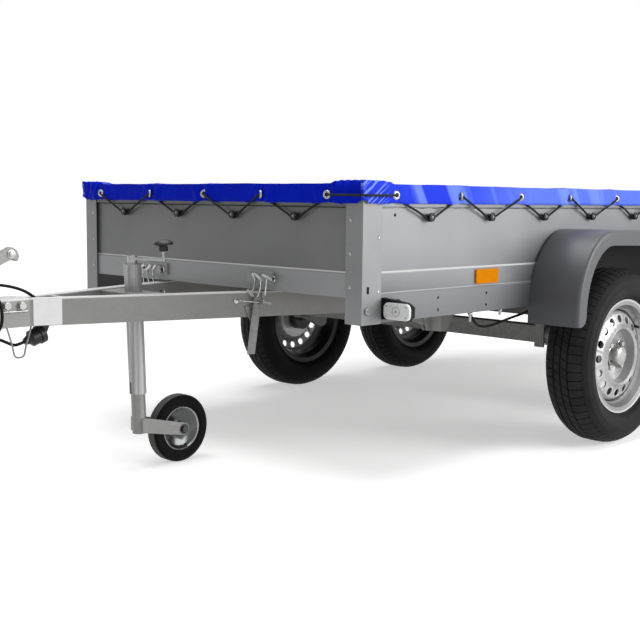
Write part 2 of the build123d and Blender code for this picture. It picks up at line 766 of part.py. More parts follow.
# One lever hangs beside the left arm on the rod and lies along the arm.
arm_plane = Plane(
    origin=(arm_outer(-rod_ahead) + 14, rod_y, 0), x_dir=(sin(arm_angle), cos(arm_angle), 0),
    z_dir=(cos(arm_angle), -sin(arm_angle), 0),
)
with BuildPart() as latch_lever:
    with BuildSketch(arm_plane):
        with BuildLine():
            Polyline(
                (-lever_width / 2, rod_z + 14), (lever_width / 2, rod_z + 14),
                (lever_width / 2 - lever_swing, lever_foot_z), (-lever_width / 2 - lever_swing, lever_foot_z),
                close=True,
            )
        make_face()
    extrude(amount=5)
    with BuildSketch(along(latch_x)):
        with Locations((rod_y, rod_z)):
            Circle(rod_radius)
    extrude(amount=2 * rod_outer, mode=Mode.SUBTRACT)
save(latch_lever, "latch_lever")

# ---- drawbar: plug and lead ------------------------------------------------------------------------------
plug_y = front_y - neck_rear + 1
plug_plane = Plane(
    origin=(plug_x, plug_y, 394), x_dir=(0, cos(plug_tilt), sin(plug_tilt)), z_dir=(1, 0, 0),
)
plug_axis = Axis(plug_plane.origin, plug_plane.x_dir)
with BuildPart() as plug:
    with BuildSketch(plug_plane):
        with BuildLine():
            Polyline((0, 0), (0, 8), (14, 13), (20, plug_radius), (52, plug_radius), (52, 0), close=True)
        make_face()
    revolve(axis=plug_axis)
save(plug, "plug")

with BuildPart() as plug_holder:
    with BuildSketch(plug_plane):
        with BuildLine():
            Polyline(
                (52, 0), (52, plug_radius), (42, plug_radius), (42, plug_radius + 3), (56, plug_radius + 3),
                (56, 0), close=True,
            )
        make_face()
    revolve(axis=plug_axis)
    with BuildSketch(along(plug_x - 10)):
        with BuildLine():
            Polyline(
                (plug_y + 48, arm_bottom_z), (plug_y + 70, arm_bottom_z), (plug_y + 57, 408),
                (plug_y + 52, 408), close=True,
            )
        make_face()
    extrude(amount=20)
save(plug_holder, "plug_holder")

with BuildPart() as lead_gland:
    gland_y = front_y + apex_plate_y - 3
    with BuildSketch(across(gland_y)):
        with Locations((0, gland_z)):
            Circle(8)
    extrude(amount=10, taper=12)
save(lead_gland, "lead_gland")

coil_y = front_y - neck_front + 75
coil_z = arm_bottom_z + arm_height / 2 + 2
with BuildPart() as lead_coil:
    with BuildSketch(across(coil_y + coil_width / 2)):
        with Locations((0, coil_z)):
            Ellipse(coil_half_x + lead_radius, coil_half_z + lead_radius)
            Ellipse(coil_half_x - lead_radius, coil_half_z - lead_radius, mode=Mode.SUBTRACT)
    extrude(amount=coil_width)
save(lead_coil, "lead_coil")

coil_rear = coil_y + coil_width / 2
lead_routes = {
    "lead_root": [
        (0, gland_y - 10, gland_z),
        (0, gland_y - 40, gland_z),
        (2, gland_y - 71, gland_z + 27),
        (6, gland_y - 105, coil_z + coil_half_z - 1),
        (8, coil_rear + 45, coil_z + coil_half_z),
        (8, coil_rear, coil_z + coil_half_z),
    ],
    "lead_end": [
        (18, coil_rear, coil_z - coil_half_z + 2),
        (18, coil_rear + 20, coil_z - coil_half_z + 2),
        (15, coil_rear + 40, coil_z - coil_half_z - 12),
        (11, coil_rear + 58, coil_z - coil_half_z - 27),
        tuple(plug_plane.origin - plug_plane.x_dir * 20),
        tuple(plug_plane.origin),
    ],
}
for name, points in lead_routes.items():
    radii = []
    corners = [Vector(*point) for point in points]
    for before, corner, after in zip(corners, corners[1:], corners[2:]):
        turn = radians((corner - before).get_angle(after - corner))
        radii.append(0.45 * min((corner - before).length, (after - corner).length) / tan(turn / 2))
    with BuildPart() as lead:
        with BuildLine() as route:
            FilletPolyline(*points, radius=radii)
        with BuildSketch(Plane(origin=points[0], z_dir=route.line % 0)):
            Circle(lead_radius)
        sweep(path=route.line)
    print(name, "length", round(sum(edge.length for edge in route.edges())), "radii", [round(r) for r in radii])
    save(lead, name)

# ---- jockey wheel ----------------------------------------------------------------------------------------
with BuildPart() as jockey_tube:
    with BuildSketch(column_section):
        with BuildLine():
            Polyline(
                (inner_radius + running_gap, tube_foot), (jockey_radius, tube_foot), (jockey_radius, tube_top),
                (0, tube_top), (0, tube_top - 6), (jockey_radius - jockey_wall, tube_top - 6),
                (jockey_radius - jockey_wall, tube_foot + 25), (inner_radius + running_gap, tube_foot + 20),
                close=True,
            )
        make_face()
    revolve(axis=column_axis)
    with BuildSketch(column.offset(tube_foot - 1)):
        with Locations((0, -jockey_radius)):
            Rectangle(7, 12)
    extrude(amount=36, mode=Mode.SUBTRACT)
save(jockey_tube, "jockey_tube")

with BuildPart() as jockey_crank:
    with BuildSketch(column.offset(tube_top)):
        Circle(14)
    extrude(amount=24)
    with BuildSketch(column.offset(tube_top + 12)):
        Circle(8)
        with Locations((crank_reach, 0)):
            Circle(6)
        make_hull()
    extrude(amount=6)
    with BuildSketch(column.offset(tube_top + 18)):
        with Locations((crank_reach, 0)):
            Circle(4)
    extrude(amount=46)
save(jockey_crank, "jockey_crank")

knob_plane = Plane(
    origin=column.offset(tube_top + knob_foot).origin + Vector(crank_reach, 0, 0), x_dir=(1, 0, 0),
    z_dir=-column.y_dir,
)
with BuildPart() as crank_knob:
    with BuildSketch(knob_plane):
        with BuildLine():
            Polyline((4, 0), (10, 0), (11, 14), (24, 17), (24, 24), (15, 32), (4, 32), close=True)
        make_face()
    revolve(axis=Axis(knob_plane.origin, column.z_dir))
save(crank_knob, "crank_knob")

jockey_axle = Vector(0, column_foot_y + jockey_wheel_trail, jockey_tyre_radius)
fork_gap = jockey_tyre_width / 2 + 4.5
with BuildPart() as jockey_fork:
    with BuildSketch(column.offset(fork_top)):
        Circle(inner_radius)
        Circle(inner_radius - 3, mode=Mode.SUBTRACT)
    extrude(amount=400 - fork_top)
    with BuildSketch(column.offset(fork_foot)):
        Circle(inner_radius)
    extrude(amount=fork_top - fork_foot)
    with BuildSketch(column.offset(fork_plate_z - fork_plate_height / 2 + 2)):
        Rectangle(2 * fork_gap, 16)
    extrude(amount=fork_plate_height - 4)
    for s in (-1, 1):
        with BuildSketch(along(s * fork_gap)):
            with Locations((column_foot_y - fork_plate_z * tan(lean), fork_plate_z)):
                Rectangle(16, fork_plate_height)
            with Locations((jockey_axle.Y, jockey_axle.Z)):
                Circle(18)
            make_hull()
        extrude(amount=s * 4)
    with BuildSketch(along(-fork_gap - 10)):
        with Locations((jockey_axle.Y, jockey_axle.Z)):
            Circle(8)
    extrude(amount=2 * fork_gap + 20)
save(jockey_fork, "jockey_fork")

jockey_wheel_plane = Plane(origin=jockey_axle, x_dir=(1, 0, 0), z_dir=(0, 0, 1))
jockey_wheel_axis = Axis(jockey_axle, (1, 0, 0))
half = jockey_tyre_width / 2
with BuildPart() as jockey_rim:
    with BuildSketch(jockey_wheel_plane):
        with BuildLine():
            Polyline(
                (-half - 2, 8 + running_gap), (half + 2, 8 + running_gap), (half + 2, 18), (6, 22), (6, 50),
                (half - 4, 64), (4 - half, 64), (-6, 50), (-6, 22), (-half - 2, 18), close=True,
            )
        make_face()
    revolve(axis=jockey_wheel_axis)
save(jockey_rim, "jockey_rim")

with BuildPart() as jockey_tyre:
    with BuildSketch(jockey_wheel_plane):
        with BuildLine():
            Polyline(
                (4 - half, 64), (half - 4, 64), (half, 72), (half, 88), (half - 9, jockey_tyre_radius),
                (9 - half, jockey_tyre_radius), (-half, 88), (-half, 72), close=True,
            )
        make_face()
    revolve(axis=jockey_wheel_axis)
save(jockey_tyre, "jockey_tyre")

# ---- road wheels -----------------------------------------------------------------------------------------
# Sections are (distance out from the wheel's middle plane, radius).
half = tyre_width / 2
bead = rim_radius - 14
tyre_half_section = [
    (rim_width / 2 - 8.3, bead), (rim_width / 2 - 4.3, rim_radius + 1), (half - 2, rim_radius + 22),
    (half, tyre_radius - 50), (half - 8, tyre_radius - 26), (half - 26, tyre_radius - 9),
    (half - 58, tyre_radius),
]
tyre_section = tyre_half_section + [(-x, radius) for x, radius in reversed(tyre_half_section)]
rim_section = [
    (rim_width / 2 - 4, rim_radius), (rim_width / 2, rim_radius), (rim_width / 2 - 4, bead - 4),
    (26, 149), (-26, 149), (4 - rim_width / 2, bead - 4), (-rim_width / 2, rim_radius),
    (4 - rim_width / 2, rim_radius), (8 - rim_width / 2, bead - 0.3), (-22, 153), (22, 153),
    (rim_width / 2 - 8, bead - 0.3),
]
disc_section = [
    (-2, 149), (22, 143), (31, 134), (40, 104), (52, 92), (46, 86), (hub_face + 4, 82), (hub_face + 4, 33),
    (hub_face, 33), (hub_face, 84), (45, 92), (35, 104), (26, 134), (18, 141), (-6, 149),
]
hub_section = [
    (-hub_length / 2, stub_radius + running_gap), (hub_face, stub_radius + running_gap),
    (hub_face, hub_radius), (-hub_length / 2, hub_radius),
]
cap_section = [(hub_face, 0), (hub_face, 33), (36, 31), (45, 22), (48, 0)]
for place, wheel_y in zip(("front", "rear"), wheel_ys):
    for side, s in sides:
        wheel_plane = Plane((s * wheel_x, wheel_y, wheel_z), x_dir=(s, 0, 0), z_dir=(0, 0, 1))
        wheel_axis = Axis(wheel_plane.origin, (1, 0, 0))
        with BuildPart() as tyre:
            with BuildSketch(wheel_plane):
                with BuildLine():
                    Polyline(*tyre_section, close=True)
                make_face()
            revolve(axis=wheel_axis)
        save(tyre, f"tyre_{place}_{side}")
        with BuildPart() as rim:
            for section in (rim_section, disc_section, hub_section, cap_section):
                with BuildSketch(wheel_plane):
                    with BuildLine():
                        Polyline(*section, close=True)
                    make_face()
                revolve(axis=wheel_axis)
            with BuildSketch(Plane((s * (wheel_x + 20), wheel_y, wheel_z), x_dir=(0, 1, 0), z_dir=(s, 0, 0))):
                with PolarLocations(vent_circle, vent_count):
                    Circle(vent_radius)
            extrude(amount=40, mode=Mode.SUBTRACT)
        save(rim, f"rim_{place}_{side}")
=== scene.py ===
# %% [markdown]
# # A tandem-axle box trailer, dressed for its close-up
# The trailer is a steel tub on four wheels. A drawbar in the shape of a V carries its coupling and a jockey
# wheel, and a flat tarpaulin is laced over the top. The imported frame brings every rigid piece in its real
# place, so this script adds what a frame can't hold: cloth, cord, tread, small fasteners and the finishes.

# %% Load the frame
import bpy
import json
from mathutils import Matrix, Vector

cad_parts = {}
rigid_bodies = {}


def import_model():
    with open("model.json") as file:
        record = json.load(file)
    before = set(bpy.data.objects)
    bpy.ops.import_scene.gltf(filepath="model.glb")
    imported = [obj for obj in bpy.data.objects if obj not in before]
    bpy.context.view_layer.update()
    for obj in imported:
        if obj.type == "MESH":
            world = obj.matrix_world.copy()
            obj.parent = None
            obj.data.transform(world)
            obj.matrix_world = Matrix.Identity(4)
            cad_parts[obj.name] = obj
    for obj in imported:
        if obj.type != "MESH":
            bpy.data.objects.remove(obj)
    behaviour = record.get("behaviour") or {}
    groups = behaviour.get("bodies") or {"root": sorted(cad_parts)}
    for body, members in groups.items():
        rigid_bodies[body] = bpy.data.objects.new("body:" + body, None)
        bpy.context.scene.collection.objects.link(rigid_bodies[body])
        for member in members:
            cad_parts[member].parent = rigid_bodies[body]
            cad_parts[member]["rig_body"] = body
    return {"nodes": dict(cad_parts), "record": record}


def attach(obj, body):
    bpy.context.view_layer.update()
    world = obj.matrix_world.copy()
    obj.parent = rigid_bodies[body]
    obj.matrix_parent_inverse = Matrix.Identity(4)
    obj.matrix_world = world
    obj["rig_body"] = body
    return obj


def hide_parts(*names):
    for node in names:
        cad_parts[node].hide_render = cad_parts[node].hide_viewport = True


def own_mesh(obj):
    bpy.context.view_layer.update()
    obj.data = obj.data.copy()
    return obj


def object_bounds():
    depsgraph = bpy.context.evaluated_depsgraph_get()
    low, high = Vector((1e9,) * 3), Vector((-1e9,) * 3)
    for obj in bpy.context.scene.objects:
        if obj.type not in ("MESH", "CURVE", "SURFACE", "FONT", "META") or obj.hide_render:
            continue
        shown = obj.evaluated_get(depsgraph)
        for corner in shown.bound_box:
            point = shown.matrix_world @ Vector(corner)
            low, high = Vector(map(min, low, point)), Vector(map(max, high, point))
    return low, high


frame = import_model()
cad_box = [list(corner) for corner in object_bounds()]

import json
from math import atan2, cos, hypot, pi, radians, sin

import bmesh
import bpy
from mathutils import Matrix, Vector, noise

nodes = frame["nodes"]
front_y, rear_y, half_width = -0.887, 1.763, 0.625
wheel_x, wheel_z, tandem_y, half_spacing = 0.716, 0.2795, 0.538, 0.348
wheels = [
    (f"{place}_{side}", Vector((sign * wheel_x, tandem_y + way * half_spacing, wheel_z)), sign)
    for place, way in (("front", -1), ("rear", 1)) for side, sign in (("left", 1), ("right", -1))
]
jockey_hub = Vector((0, -0.9902, 0.0985))


def add_object(name, data):
    """Puts a mesh, curve, lamp or camera into the scene as an object at the origin."""
    made = bpy.data.objects.new(name, data)
    bpy.context.scene.collection.objects.link(made)
    return made


print(len(nodes), "nodes, box", [[round(v, 3) for v in corner] for corner in cad_box])

# %% [markdown]
# ## Camera
# A camera is an object whose local -Z axis looks forward. It could be aimed with a Track To constraint, but a
# matrix made from its heading, its pitch and its roll says exactly how the trailer is looked at.

# %% Camera
eye = Vector((2.4491, -2.8806, 0.7645))
heading, pitch, roll = radians(44.69), radians(6.44), radians(0.63)
forward = Vector((-sin(heading) * cos(pitch), cos(heading) * cos(pitch), -sin(pitch)))
level = Vector((cos(heading), sin(heading), 0))
raised = level.cross(forward)
right = level * cos(roll) + raised * sin(roll)
up = raised * cos(roll) - level * sin(roll)
camera = add_object("camera", bpy.data.cameras.new("camera"))
camera.data.lens = 60.11
camera.matrix_world = Matrix.Translation(eye) @ Matrix((right, up, -forward)).transposed().to_4x4()
bpy.context.scene.camera = camera
bpy.context.scene.view_settings.view_transform = "Standard"
print("camera at", [round(v, 2) for v in eye])

# %% [markdown]
# ## Helpers for pieces
# Every new piece ends the same way: its mesh goes into an object at the origin, gets its finish and its
# smooth shading, and rides on the body that carries it. One function does that for all of them. Edges that
# are sharper than a given angle are marked, so that round sides shade smoothly and corners stay crisp.

# %% Pieces from meshes
SHARP = radians(35)


def tidy(bm):
    """Merges doubles and turns the faces outwards."""
    bmesh.ops.remove_doubles(bm, verts=bm.verts, dist=1e-5)
    bmesh.ops.recalc_face_normals(bm, faces=bm.faces)


def make_piece(name, bm, body, slot, finish=None, sharp=SHARP, instead=None, tidied=False):
    """Turns a bmesh into a piece that rides on a body, instead of a node where one is named.

    Without a finish it gets the one that its slot has on the frame's own pieces."""
    if not tidied:
        tidy(bm)
    mesh = bpy.data.meshes.new(name)
    bm.to_mesh(mesh)
    bm.free()
    mesh.polygons.foreach_set("use_smooth", [True] * len(mesh.polygons))
    mesh.set_sharp_from_angle(angle=sharp)
    mesh.materials.append(finish or slot_finishes[slot])
    piece = add_object(name, mesh)
    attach(piece, body)
    if instead:
        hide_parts(instead)
    return piece


def facing(place, direction):
    """Matrix at a place whose Z axis points along a direction."""
    return Matrix.Translation(place) @ Vector(direction).to_track_quat("Z", "Y").to_matrix().to_4x4()


def turned(bm, profile, matrix, steps=32):
    """Adds a turned form: profile is (radius, height) from bottom to top, about the matrix's Z axis."""
    corners = [bm.verts.new(matrix @ Vector((r, 0, h))) for r, h in profile]
    edges = [bm.edges.new(pair) for pair in zip(corners, corners[1:])]
    axis = (matrix.to_3x3() @ Vector((0, 0, 1))).normalized()
    bmesh.ops.spin(
        bm, geom=corners + edges, cent=matrix.translation, axis=axis, angle=2 * pi, steps=steps,
        use_merge=True,
    )


def raised_plate(bm, outline, depth):
    """Adds a flat outline that is thickened along a vector, and gives what the extrusion made."""
    face = bm.faces.new([bm.verts.new(place) for place in outline])
    grown = bmesh.ops.extrude_face_region(bm, geom=[face])["geom"]
    bmesh.ops.translate(bm, verts=[item for item in grown if isinstance(item, bmesh.types.BMVert)], vec=depth)
    return grown


def bevel(bm, edges, offset, segments):
    """Rounds edges of a bmesh."""
    bmesh.ops.bevel(
        bm, geom=edges, offset=offset, offset_type="OFFSET", segments=segments, profile=0.5, affect="EDGES",
        material=-1,
    )


def merged_copy(node):
    """A node's mesh with its doubles merged and its flat sides made one face each."""
    bm = bmesh.new()
    bm.from_mesh(nodes[node].data)
    bmesh.ops.remove_doubles(bm, verts=bm.verts, dist=1e-5)
    bmesh.ops.dissolve_limit(
        bm, angle_limit=radians(0.5), use_dissolve_boundaries=False, verts=bm.verts, edges=bm.edges,
    )
    return bm


def soften(node, slot, finish, width, bend=40):
    """Gives a node the small rounded edges of bent or cast metal, on a merged copy that replaces it.

    Edges that turn by less than the bend, in degrees, are left as they are."""
    piece = make_piece(
        f"{node}_edged", merged_copy(node), nodes[node]["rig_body"], slot, finish,
        min(SHARP, radians(bend - 5)), instead=node, tidied=True,
    )
    rounding = piece.modifiers.new("rounding", "BEVEL")
    rounding.width = width
    rounding.segments = 2
    rounding.limit_method = "ANGLE"
    rounding.angle_limit = radians(bend)
    rounding.harden_normals = True
    return piece


print("helpers for pieces ready")

# %% [markdown]
# ## Helpers for finishes
# A finish is a small shader network. Written out node by node it is long and hard to read, so one class wraps
# an output socket and turns Python's arithmetic into Math nodes, and one method adds any other node.

# %% Finishes from expressions
class Tone:
    """An output socket. Arithmetic on it adds Math nodes, with numbers or other tones."""

    def __init__(self, finish, socket):
        self.finish = finish
        self.socket = socket

    def math(self, operation, *values):
        return self.finish.node("Math", {"operation": operation}, dict(enumerate(values)))

    def __add__(self, other):
        return self.math("ADD", self, other)

    def __radd__(self, other):
        return self.math("ADD", other, self)

    def __sub__(self, other):
        return self.math("SUBTRACT", self, other)

    def __rsub__(self, other):
        return self.math("SUBTRACT", other, self)

    def __mul__(self, other):
        return self.math("MULTIPLY", self, other)

    def __rmul__(self, other):
        return self.math("MULTIPLY", other, self)

    def __pow__(self, other):
        return self.math("POWER", self, other)

    def __abs__(self):
        return self.math("ABSOLUTE", self)


class Finish:
    """A material made of one Principled shader and whatever drives it."""

    def __init__(self, name, **settings):
        self.material = bpy.data.materials.new(name)
        self.material.use_nodes = True
        self.tree = self.material.node_tree
        self.shader = self.tree.nodes["Principled BSDF"]
        self.set(**settings)

    def node(self, kind, settings=None, sockets=None, output=0):
        """Adds a node: its settings first, then its sockets' values or links. Gives one of its outputs."""
        made = self.tree.nodes.new("ShaderNode" + kind)
        for key, value in (settings or {}).items():
            if key == "stops":
                while len(made.color_ramp.elements) < len(value):
                    made.color_ramp.elements.new(1.0)
                for element, (place, colour) in zip(made.color_ramp.elements, value):
                    element.position = place
                    element.color = colour
            else:
                setattr(made, key, value)
        for key, value in (sockets or {}).items():
            if isinstance(value, Tone):
                self.tree.links.new(value.socket, made.inputs[key])
            else:
                made.inputs[key].default_value = value
        return Tone(self, made.outputs[output])

    def set(self, **sockets):
        """Sets or links the shader's own sockets, named as in Base_Color."""
        for key, value in sockets.items():
            socket = self.shader.inputs[key.replace("_", " ")]
            if isinstance(value, Tone):
                self.tree.links.new(value.socket, socket)
            else:
                socket.default_value = value

    def place(self, stretch=(1, 1, 1)):
        """Object coordinates, in metres, stretched along the axes."""
        point = self.node("TexCoord", output=3)
        return self.node("Mapping", {}, {"Vector": point, "Scale": stretch})

    def along(self, axis):
        """The object coordinate along axis 0, 1 or 2, in metres."""
        return self.node("SeparateXYZ", {}, {0: self.place()}, output=axis)

    def step(self, value, low, high):
        """A tone that goes from 0 at the low value to 1 at the high one."""
        return self.node("MapRange", {}, {"Value": value, "From Min": low, "From Max": high})

    def bars(self, axis, scale):
        """Fine parallel bars across an axis."""
        return self.node(
            "TexWave", {"wave_type": "BANDS", "bands_direction": axis},
            {"Vector": self.place(), "Scale": scale, "Distortion": 0.0},
        )

    def grain(self, scale, detail=3.0, rough=0.5, stretch=(1, 1, 1)):
        """Noise from 0 to 1, whose scale is in cells per metre."""
        return self.node(
            "TexNoise", {},
            {"Vector": self.place(stretch), "Scale": scale, "Detail": detail, "Roughness": rough},
        )

    def ramp(self, tone, *stops):
        """Colours along a tone, from (place, grey or colour) pairs."""
        colours = [(place, (c, c, c, 1) if isinstance(c, (int, float)) else (*c, 1)) for place, c in stops]
        return self.node("ValToRGB", {"stops": colours}, {"Fac": tone})

    def blend(self, factor, first, second):
        """A mix of two colours."""
        return self.node(
            "Mix", {"data_type": "RGBA"},
            {"Factor": factor, 6: first if isinstance(first, Tone) else (*first, 1),
             7: second if isinstance(second, Tone) else (*second, 1)}, output=2,
        )

    def bump(self, height, distance, strength=1.0):
        """Sets the surface's relief from a height tone, with its depth in metres."""
        relief = self.node("Bump", {}, {"Height": height, "Distance": distance, "Strength": strength})
        self.set(Normal=relief)


print("helpers for finishes ready")

# %% [markdown]
# ## Galvanised steel
# The tub is folded from galvanised sheet. New sheet is a cool satin grey with faint cloudy patches and fine
# marks that run the way the sheet was rolled. The frame is dipped after welding, so its zinc is thicker and
# duller, with a spangle of crystals about a centimetre across. A Voronoi texture draws such crystals.

# %% Sheet, dipped frame and plated fittings
def galvanised(name, dark, light, roughness, metal, spangle, rolled=(1, 1, 0.08), painted_light_below=None, edges=()):
    """Zinc-coated steel with clouds, crystals of a given strength and rolling marks.

    Where a (low, high, shade) band is given for the lower part, below those heights the metal takes its dark
    grey times the shade, as painted shade or painted light. Edges are (low, high, grey) bands of height
    painted that grey, as painted highlights along the bends."""
    finish = Finish(name, Metallic=metal)
    clouds = finish.grain(5, 4)
    crystals = finish.node(
        "TexVoronoi", {}, {"Vector": finish.place(), "Scale": 95.0, "Randomness": 1.0}, output=1,
    )
    crystal = finish.node("SeparateColor", {}, {"Color": crystals})
    marks = finish.grain(420, 2, 0.6, rolled)
    tone = clouds * (1 - spangle) + crystal * spangle + (marks - 0.5) * 0.12
    colour = finish.ramp(tone, (0.25, dark), (0.75, light))
    height = finish.along(2)
    if painted_light_below:
        low, high, shade = painted_light_below
        above_painted_light = finish.step(height, low, high)
        colour = finish.blend(above_painted_light, tuple(c * shade for c in dark), colour)
    for low, high, grey in edges:
        above = finish.step(height, low, low + 0.001)
        below = finish.step(height, high + 0.001, high)
        colour = finish.blend(above * below, colour, (grey, grey, grey))
    finish.set(Base_Color=colour)
    finish.set(Roughness=roughness + (tone - 0.5) * 0.16 + (marks - 0.5) * 0.06)
    finish.bump(marks * 0.5 + crystal * 0.5 * spangle, 0.00012, 0.35)
    return finish.material


sheet_steel = galvanised("galvanised_sheet", (0.225, 0.228, 0.232), (0.270, 0.273, 0.279), 0.40, 0.18, 0.04)
# The front panel's copy is darker all over as painted shade, lighter below the step as painted light from the
# floor, and has a painted highlight line on the step.
front_steel_painted_light = galvanised(
    "front_sheet_painted_light", (0.150, 0.152, 0.155), (0.180, 0.182, 0.186), 0.40, 0.18, 0.04,
    painted_light_below=(0.572, 0.576, 2.0), edges=[(0.576, 0.5795, 0.52)],
)
# The side panels' copy is a little bluer, darker towards the bottom as painted shade, and has painted
# highlight lines on both steps.
side_steel_painted_light = galvanised(
    "side_sheet_painted_light", (0.230, 0.237, 0.250), (0.275, 0.283, 0.298), 0.40, 0.22, 0.04,
    painted_light_below=(0.46, 0.66, 0.60), edges=[(0.5755, 0.580, 0.50), (0.5225, 0.525, 0.34)],
)
frame_steel = galvanised("galvanised_frame", (0.240, 0.239, 0.232), (0.305, 0.304, 0.295), 0.44, 0.22, 0.12)
# The arms' copy has a painted highlight along its top edge, above 0.504 m.
arm_steel_painted_highlight = galvanised(
    "arm_painted_highlight", (0.225, 0.224, 0.217), (0.285, 0.284, 0.276), 0.44, 0.22, 0.12,
    edges=[(0.5040, 0.600, 0.62)],
)
plated_steel = galvanised("zinc_plate", (0.26, 0.26, 0.255), (0.40, 0.40, 0.39), 0.26, 0.75, 0.10)
bright_plate = galvanised("bright_zinc_plate", (0.28, 0.28, 0.27), (0.56, 0.56, 0.55), 0.18, 0.80, 0.5)
dull_plate = galvanised("dull_zinc_plate", (0.17, 0.17, 0.165), (0.27, 0.27, 0.26), 0.42, 0.35, 0.15)
dish_plate = galvanised("blue_zinc_plate", (0.060, 0.066, 0.066), (0.110, 0.118, 0.116), 0.20, 0.85, 0.10)
# Vertical streaks in the tube's colour are painted reflections.
tube_finish = Finish("tube_with_painted_reflections", Metallic=0.35, Roughness=0.34)
painted_reflection_streaks = tube_finish.grain(95, 2, 0.5, (1, 1, 0.015))
tube_finish.set(Base_Color=tube_finish.ramp(painted_reflection_streaks, (0.32, 0.27), (0.50, 0.38), (0.66, 0.52)))
tube_with_painted_reflections = tube_finish.material
# A darker zinc, on the axles, the hooks' screws and the parking bail.
dark_steel = galvanised("dark_zinc", (0.16, 0.16, 0.155), (0.25, 0.25, 0.245), 0.50, 0.20, 0.3)
print("steel finishes", sheet_steel.name, frame_steel.name, plated_steel.name)

# %% [markdown]
# ## Plastics, rubber and lenses
# Moulded plastic has a fine grain and slight differences in gloss. Rubber is darker and rougher, with a thin
# grey bloom. Lenses are clear plastic with a ribbed inside, so their relief comes from a wave of fine bars.

# %% Plastics and rubber
def moulded(name, colour, roughness, grain_size, depth, bloom=0.25, sheen=0.5):
    """Matt plastic or rubber with a moulded grain and a faint bloom."""
    finish = Finish(name, Specular_IOR_Level=sheen)
    patches = finish.grain(9, 4)
    grain = finish.grain(1 / grain_size, 2, 0.6)
    pale = tuple(c * (1 + bloom) + 0.004 for c in colour)
    finish.set(Base_Color=finish.blend(patches, colour, pale))
    finish.set(Roughness=roughness + (patches - 0.5) * 0.12 + (grain - 0.5) * 0.1)
    finish.bump(grain, depth, 0.5)
    return finish.material


guard_plastic = moulded("guard_plastic", (0.054, 0.056, 0.061), 0.40, 0.0012, 0.00015, 0.35, 0.45)
black_plastic = moulded("black_plastic", (0.010, 0.010, 0.011), 0.34, 0.001, 0.0001, 0.25, 0.28)
black_rubber = moulded("black_rubber", (0.006, 0.006, 0.006), 0.55, 0.0015, 0.0001, 0.25, 0.10)


def hub_distance(finish, hub_y, hub_z, spacing=0.0):
    """Distance from an axle, or from the nearer of two that stand a spacing before and behind a place."""
    along = finish.along(1) - hub_y
    along = abs(along) - spacing if spacing else along
    return (along ** 2 + (finish.along(2) - hub_z) ** 2) ** 0.5


tyre_finish = Finish("tyre_rubber", Roughness=0.62, Specular_IOR_Level=0.10)
tyre_patches = tyre_finish.grain(14, 4)
tyre_crown = tyre_finish.step(hub_distance(tyre_finish, tandem_y, wheel_z, half_spacing), 0.262, 0.268)
tyre_finish.set(Base_Color=tyre_finish.blend(
    tyre_crown, tyre_finish.ramp(tyre_patches, (0.3, 0.0095), (0.7, 0.0150)),
    tyre_finish.ramp(tyre_patches, (0.3, 0.0170), (0.7, 0.0330)),
))
tyre_finish.bump(tyre_finish.grain(500, 2, 0.6), 0.0002, 0.5)
tyre_rubber = tyre_finish.material
cord_rubber = moulded("lacing_cord", (0.010, 0.010, 0.011), 0.6, 0.0008, 0.0002, 0.25, 0.14)
worn_finish = Finish("worn_solid_tyre", Roughness=0.6, Specular_IOR_Level=0.06)
worn_band = worn_finish.step(hub_distance(worn_finish, jockey_hub.y, jockey_hub.z), 0.0955, 0.0975)
worn_finish.set(Base_Color=worn_finish.blend(
    worn_band * (0.8 + worn_finish.grain(60, 3) * 0.3), (0.006, 0.006, 0.006), (0.120, 0.117, 0.108),
))


def lens(name, colour, bars, roughness=0.12, see_through=0.25, gloss=0.5):
    """Lamp plastic with fine moulded bars across the trailer."""
    finish = Finish(
        name, Roughness=roughness, Transmission_Weight=see_through, IOR=1.49, Specular_IOR_Level=gloss,
    )
    ribs = finish.bars("Z", bars)
    patches = finish.grain(30, 3)
    finish.set(Base_Color=finish.blend(patches * 0.6 + ribs * 0.3, colour, tuple(0.72 * c for c in colour)))
    finish.bump(ribs, 0.0004, 0.5)
    return finish.material


amber_lens = lens("amber_lens", (0.72, 0.235, 0.001), 60, 0.40, 0.0, 0.02)
red_lens = lens("red_lens", (0.58, 0.010, 0.008), 60, 0.2, 0.0, 0.25)
clear_lens = lens("clear_lens", (0.90, 0.91, 0.90), 75, 0.15, 0.0)
print("plastics", guard_plastic.name, black_plastic.name, "and lenses", amber_lens.name, red_lens.name)

# %% Rim paint and plywood
rim_finish = Finish("rim_silver", Metallic=0.55)
# The rims' inner side is nearly black as painted shade, and a band between the disc and the flange is a
# darker grey.
rim_outside_of_painted_shade = rim_finish.step(abs(rim_finish.along(0)), 0.712, 0.728)
rim_distance = hub_distance(rim_finish, tandem_y, wheel_z, half_spacing)
rim_shade = rim_finish.step(rim_distance, 0.150, 0.156) - rim_finish.step(rim_distance, 0.1755, 0.1765)
rim_paint = rim_finish.ramp(rim_finish.grain(900, 2), (0.3, 0.38), (0.7, 0.48))
rim_paint = rim_finish.blend(rim_shade, rim_paint, (0.22, 0.22, 0.225))
rim_finish.set(Base_Color=rim_finish.blend(rim_outside_of_painted_shade, (0.022, 0.022, 0.023), rim_paint))
rim_finish.set(Roughness=0.3 + rim_finish.grain(12, 3) * 0.1, Coat_Weight=rim_outside_of_painted_shade * 0.3)
rim_silver = rim_finish.material

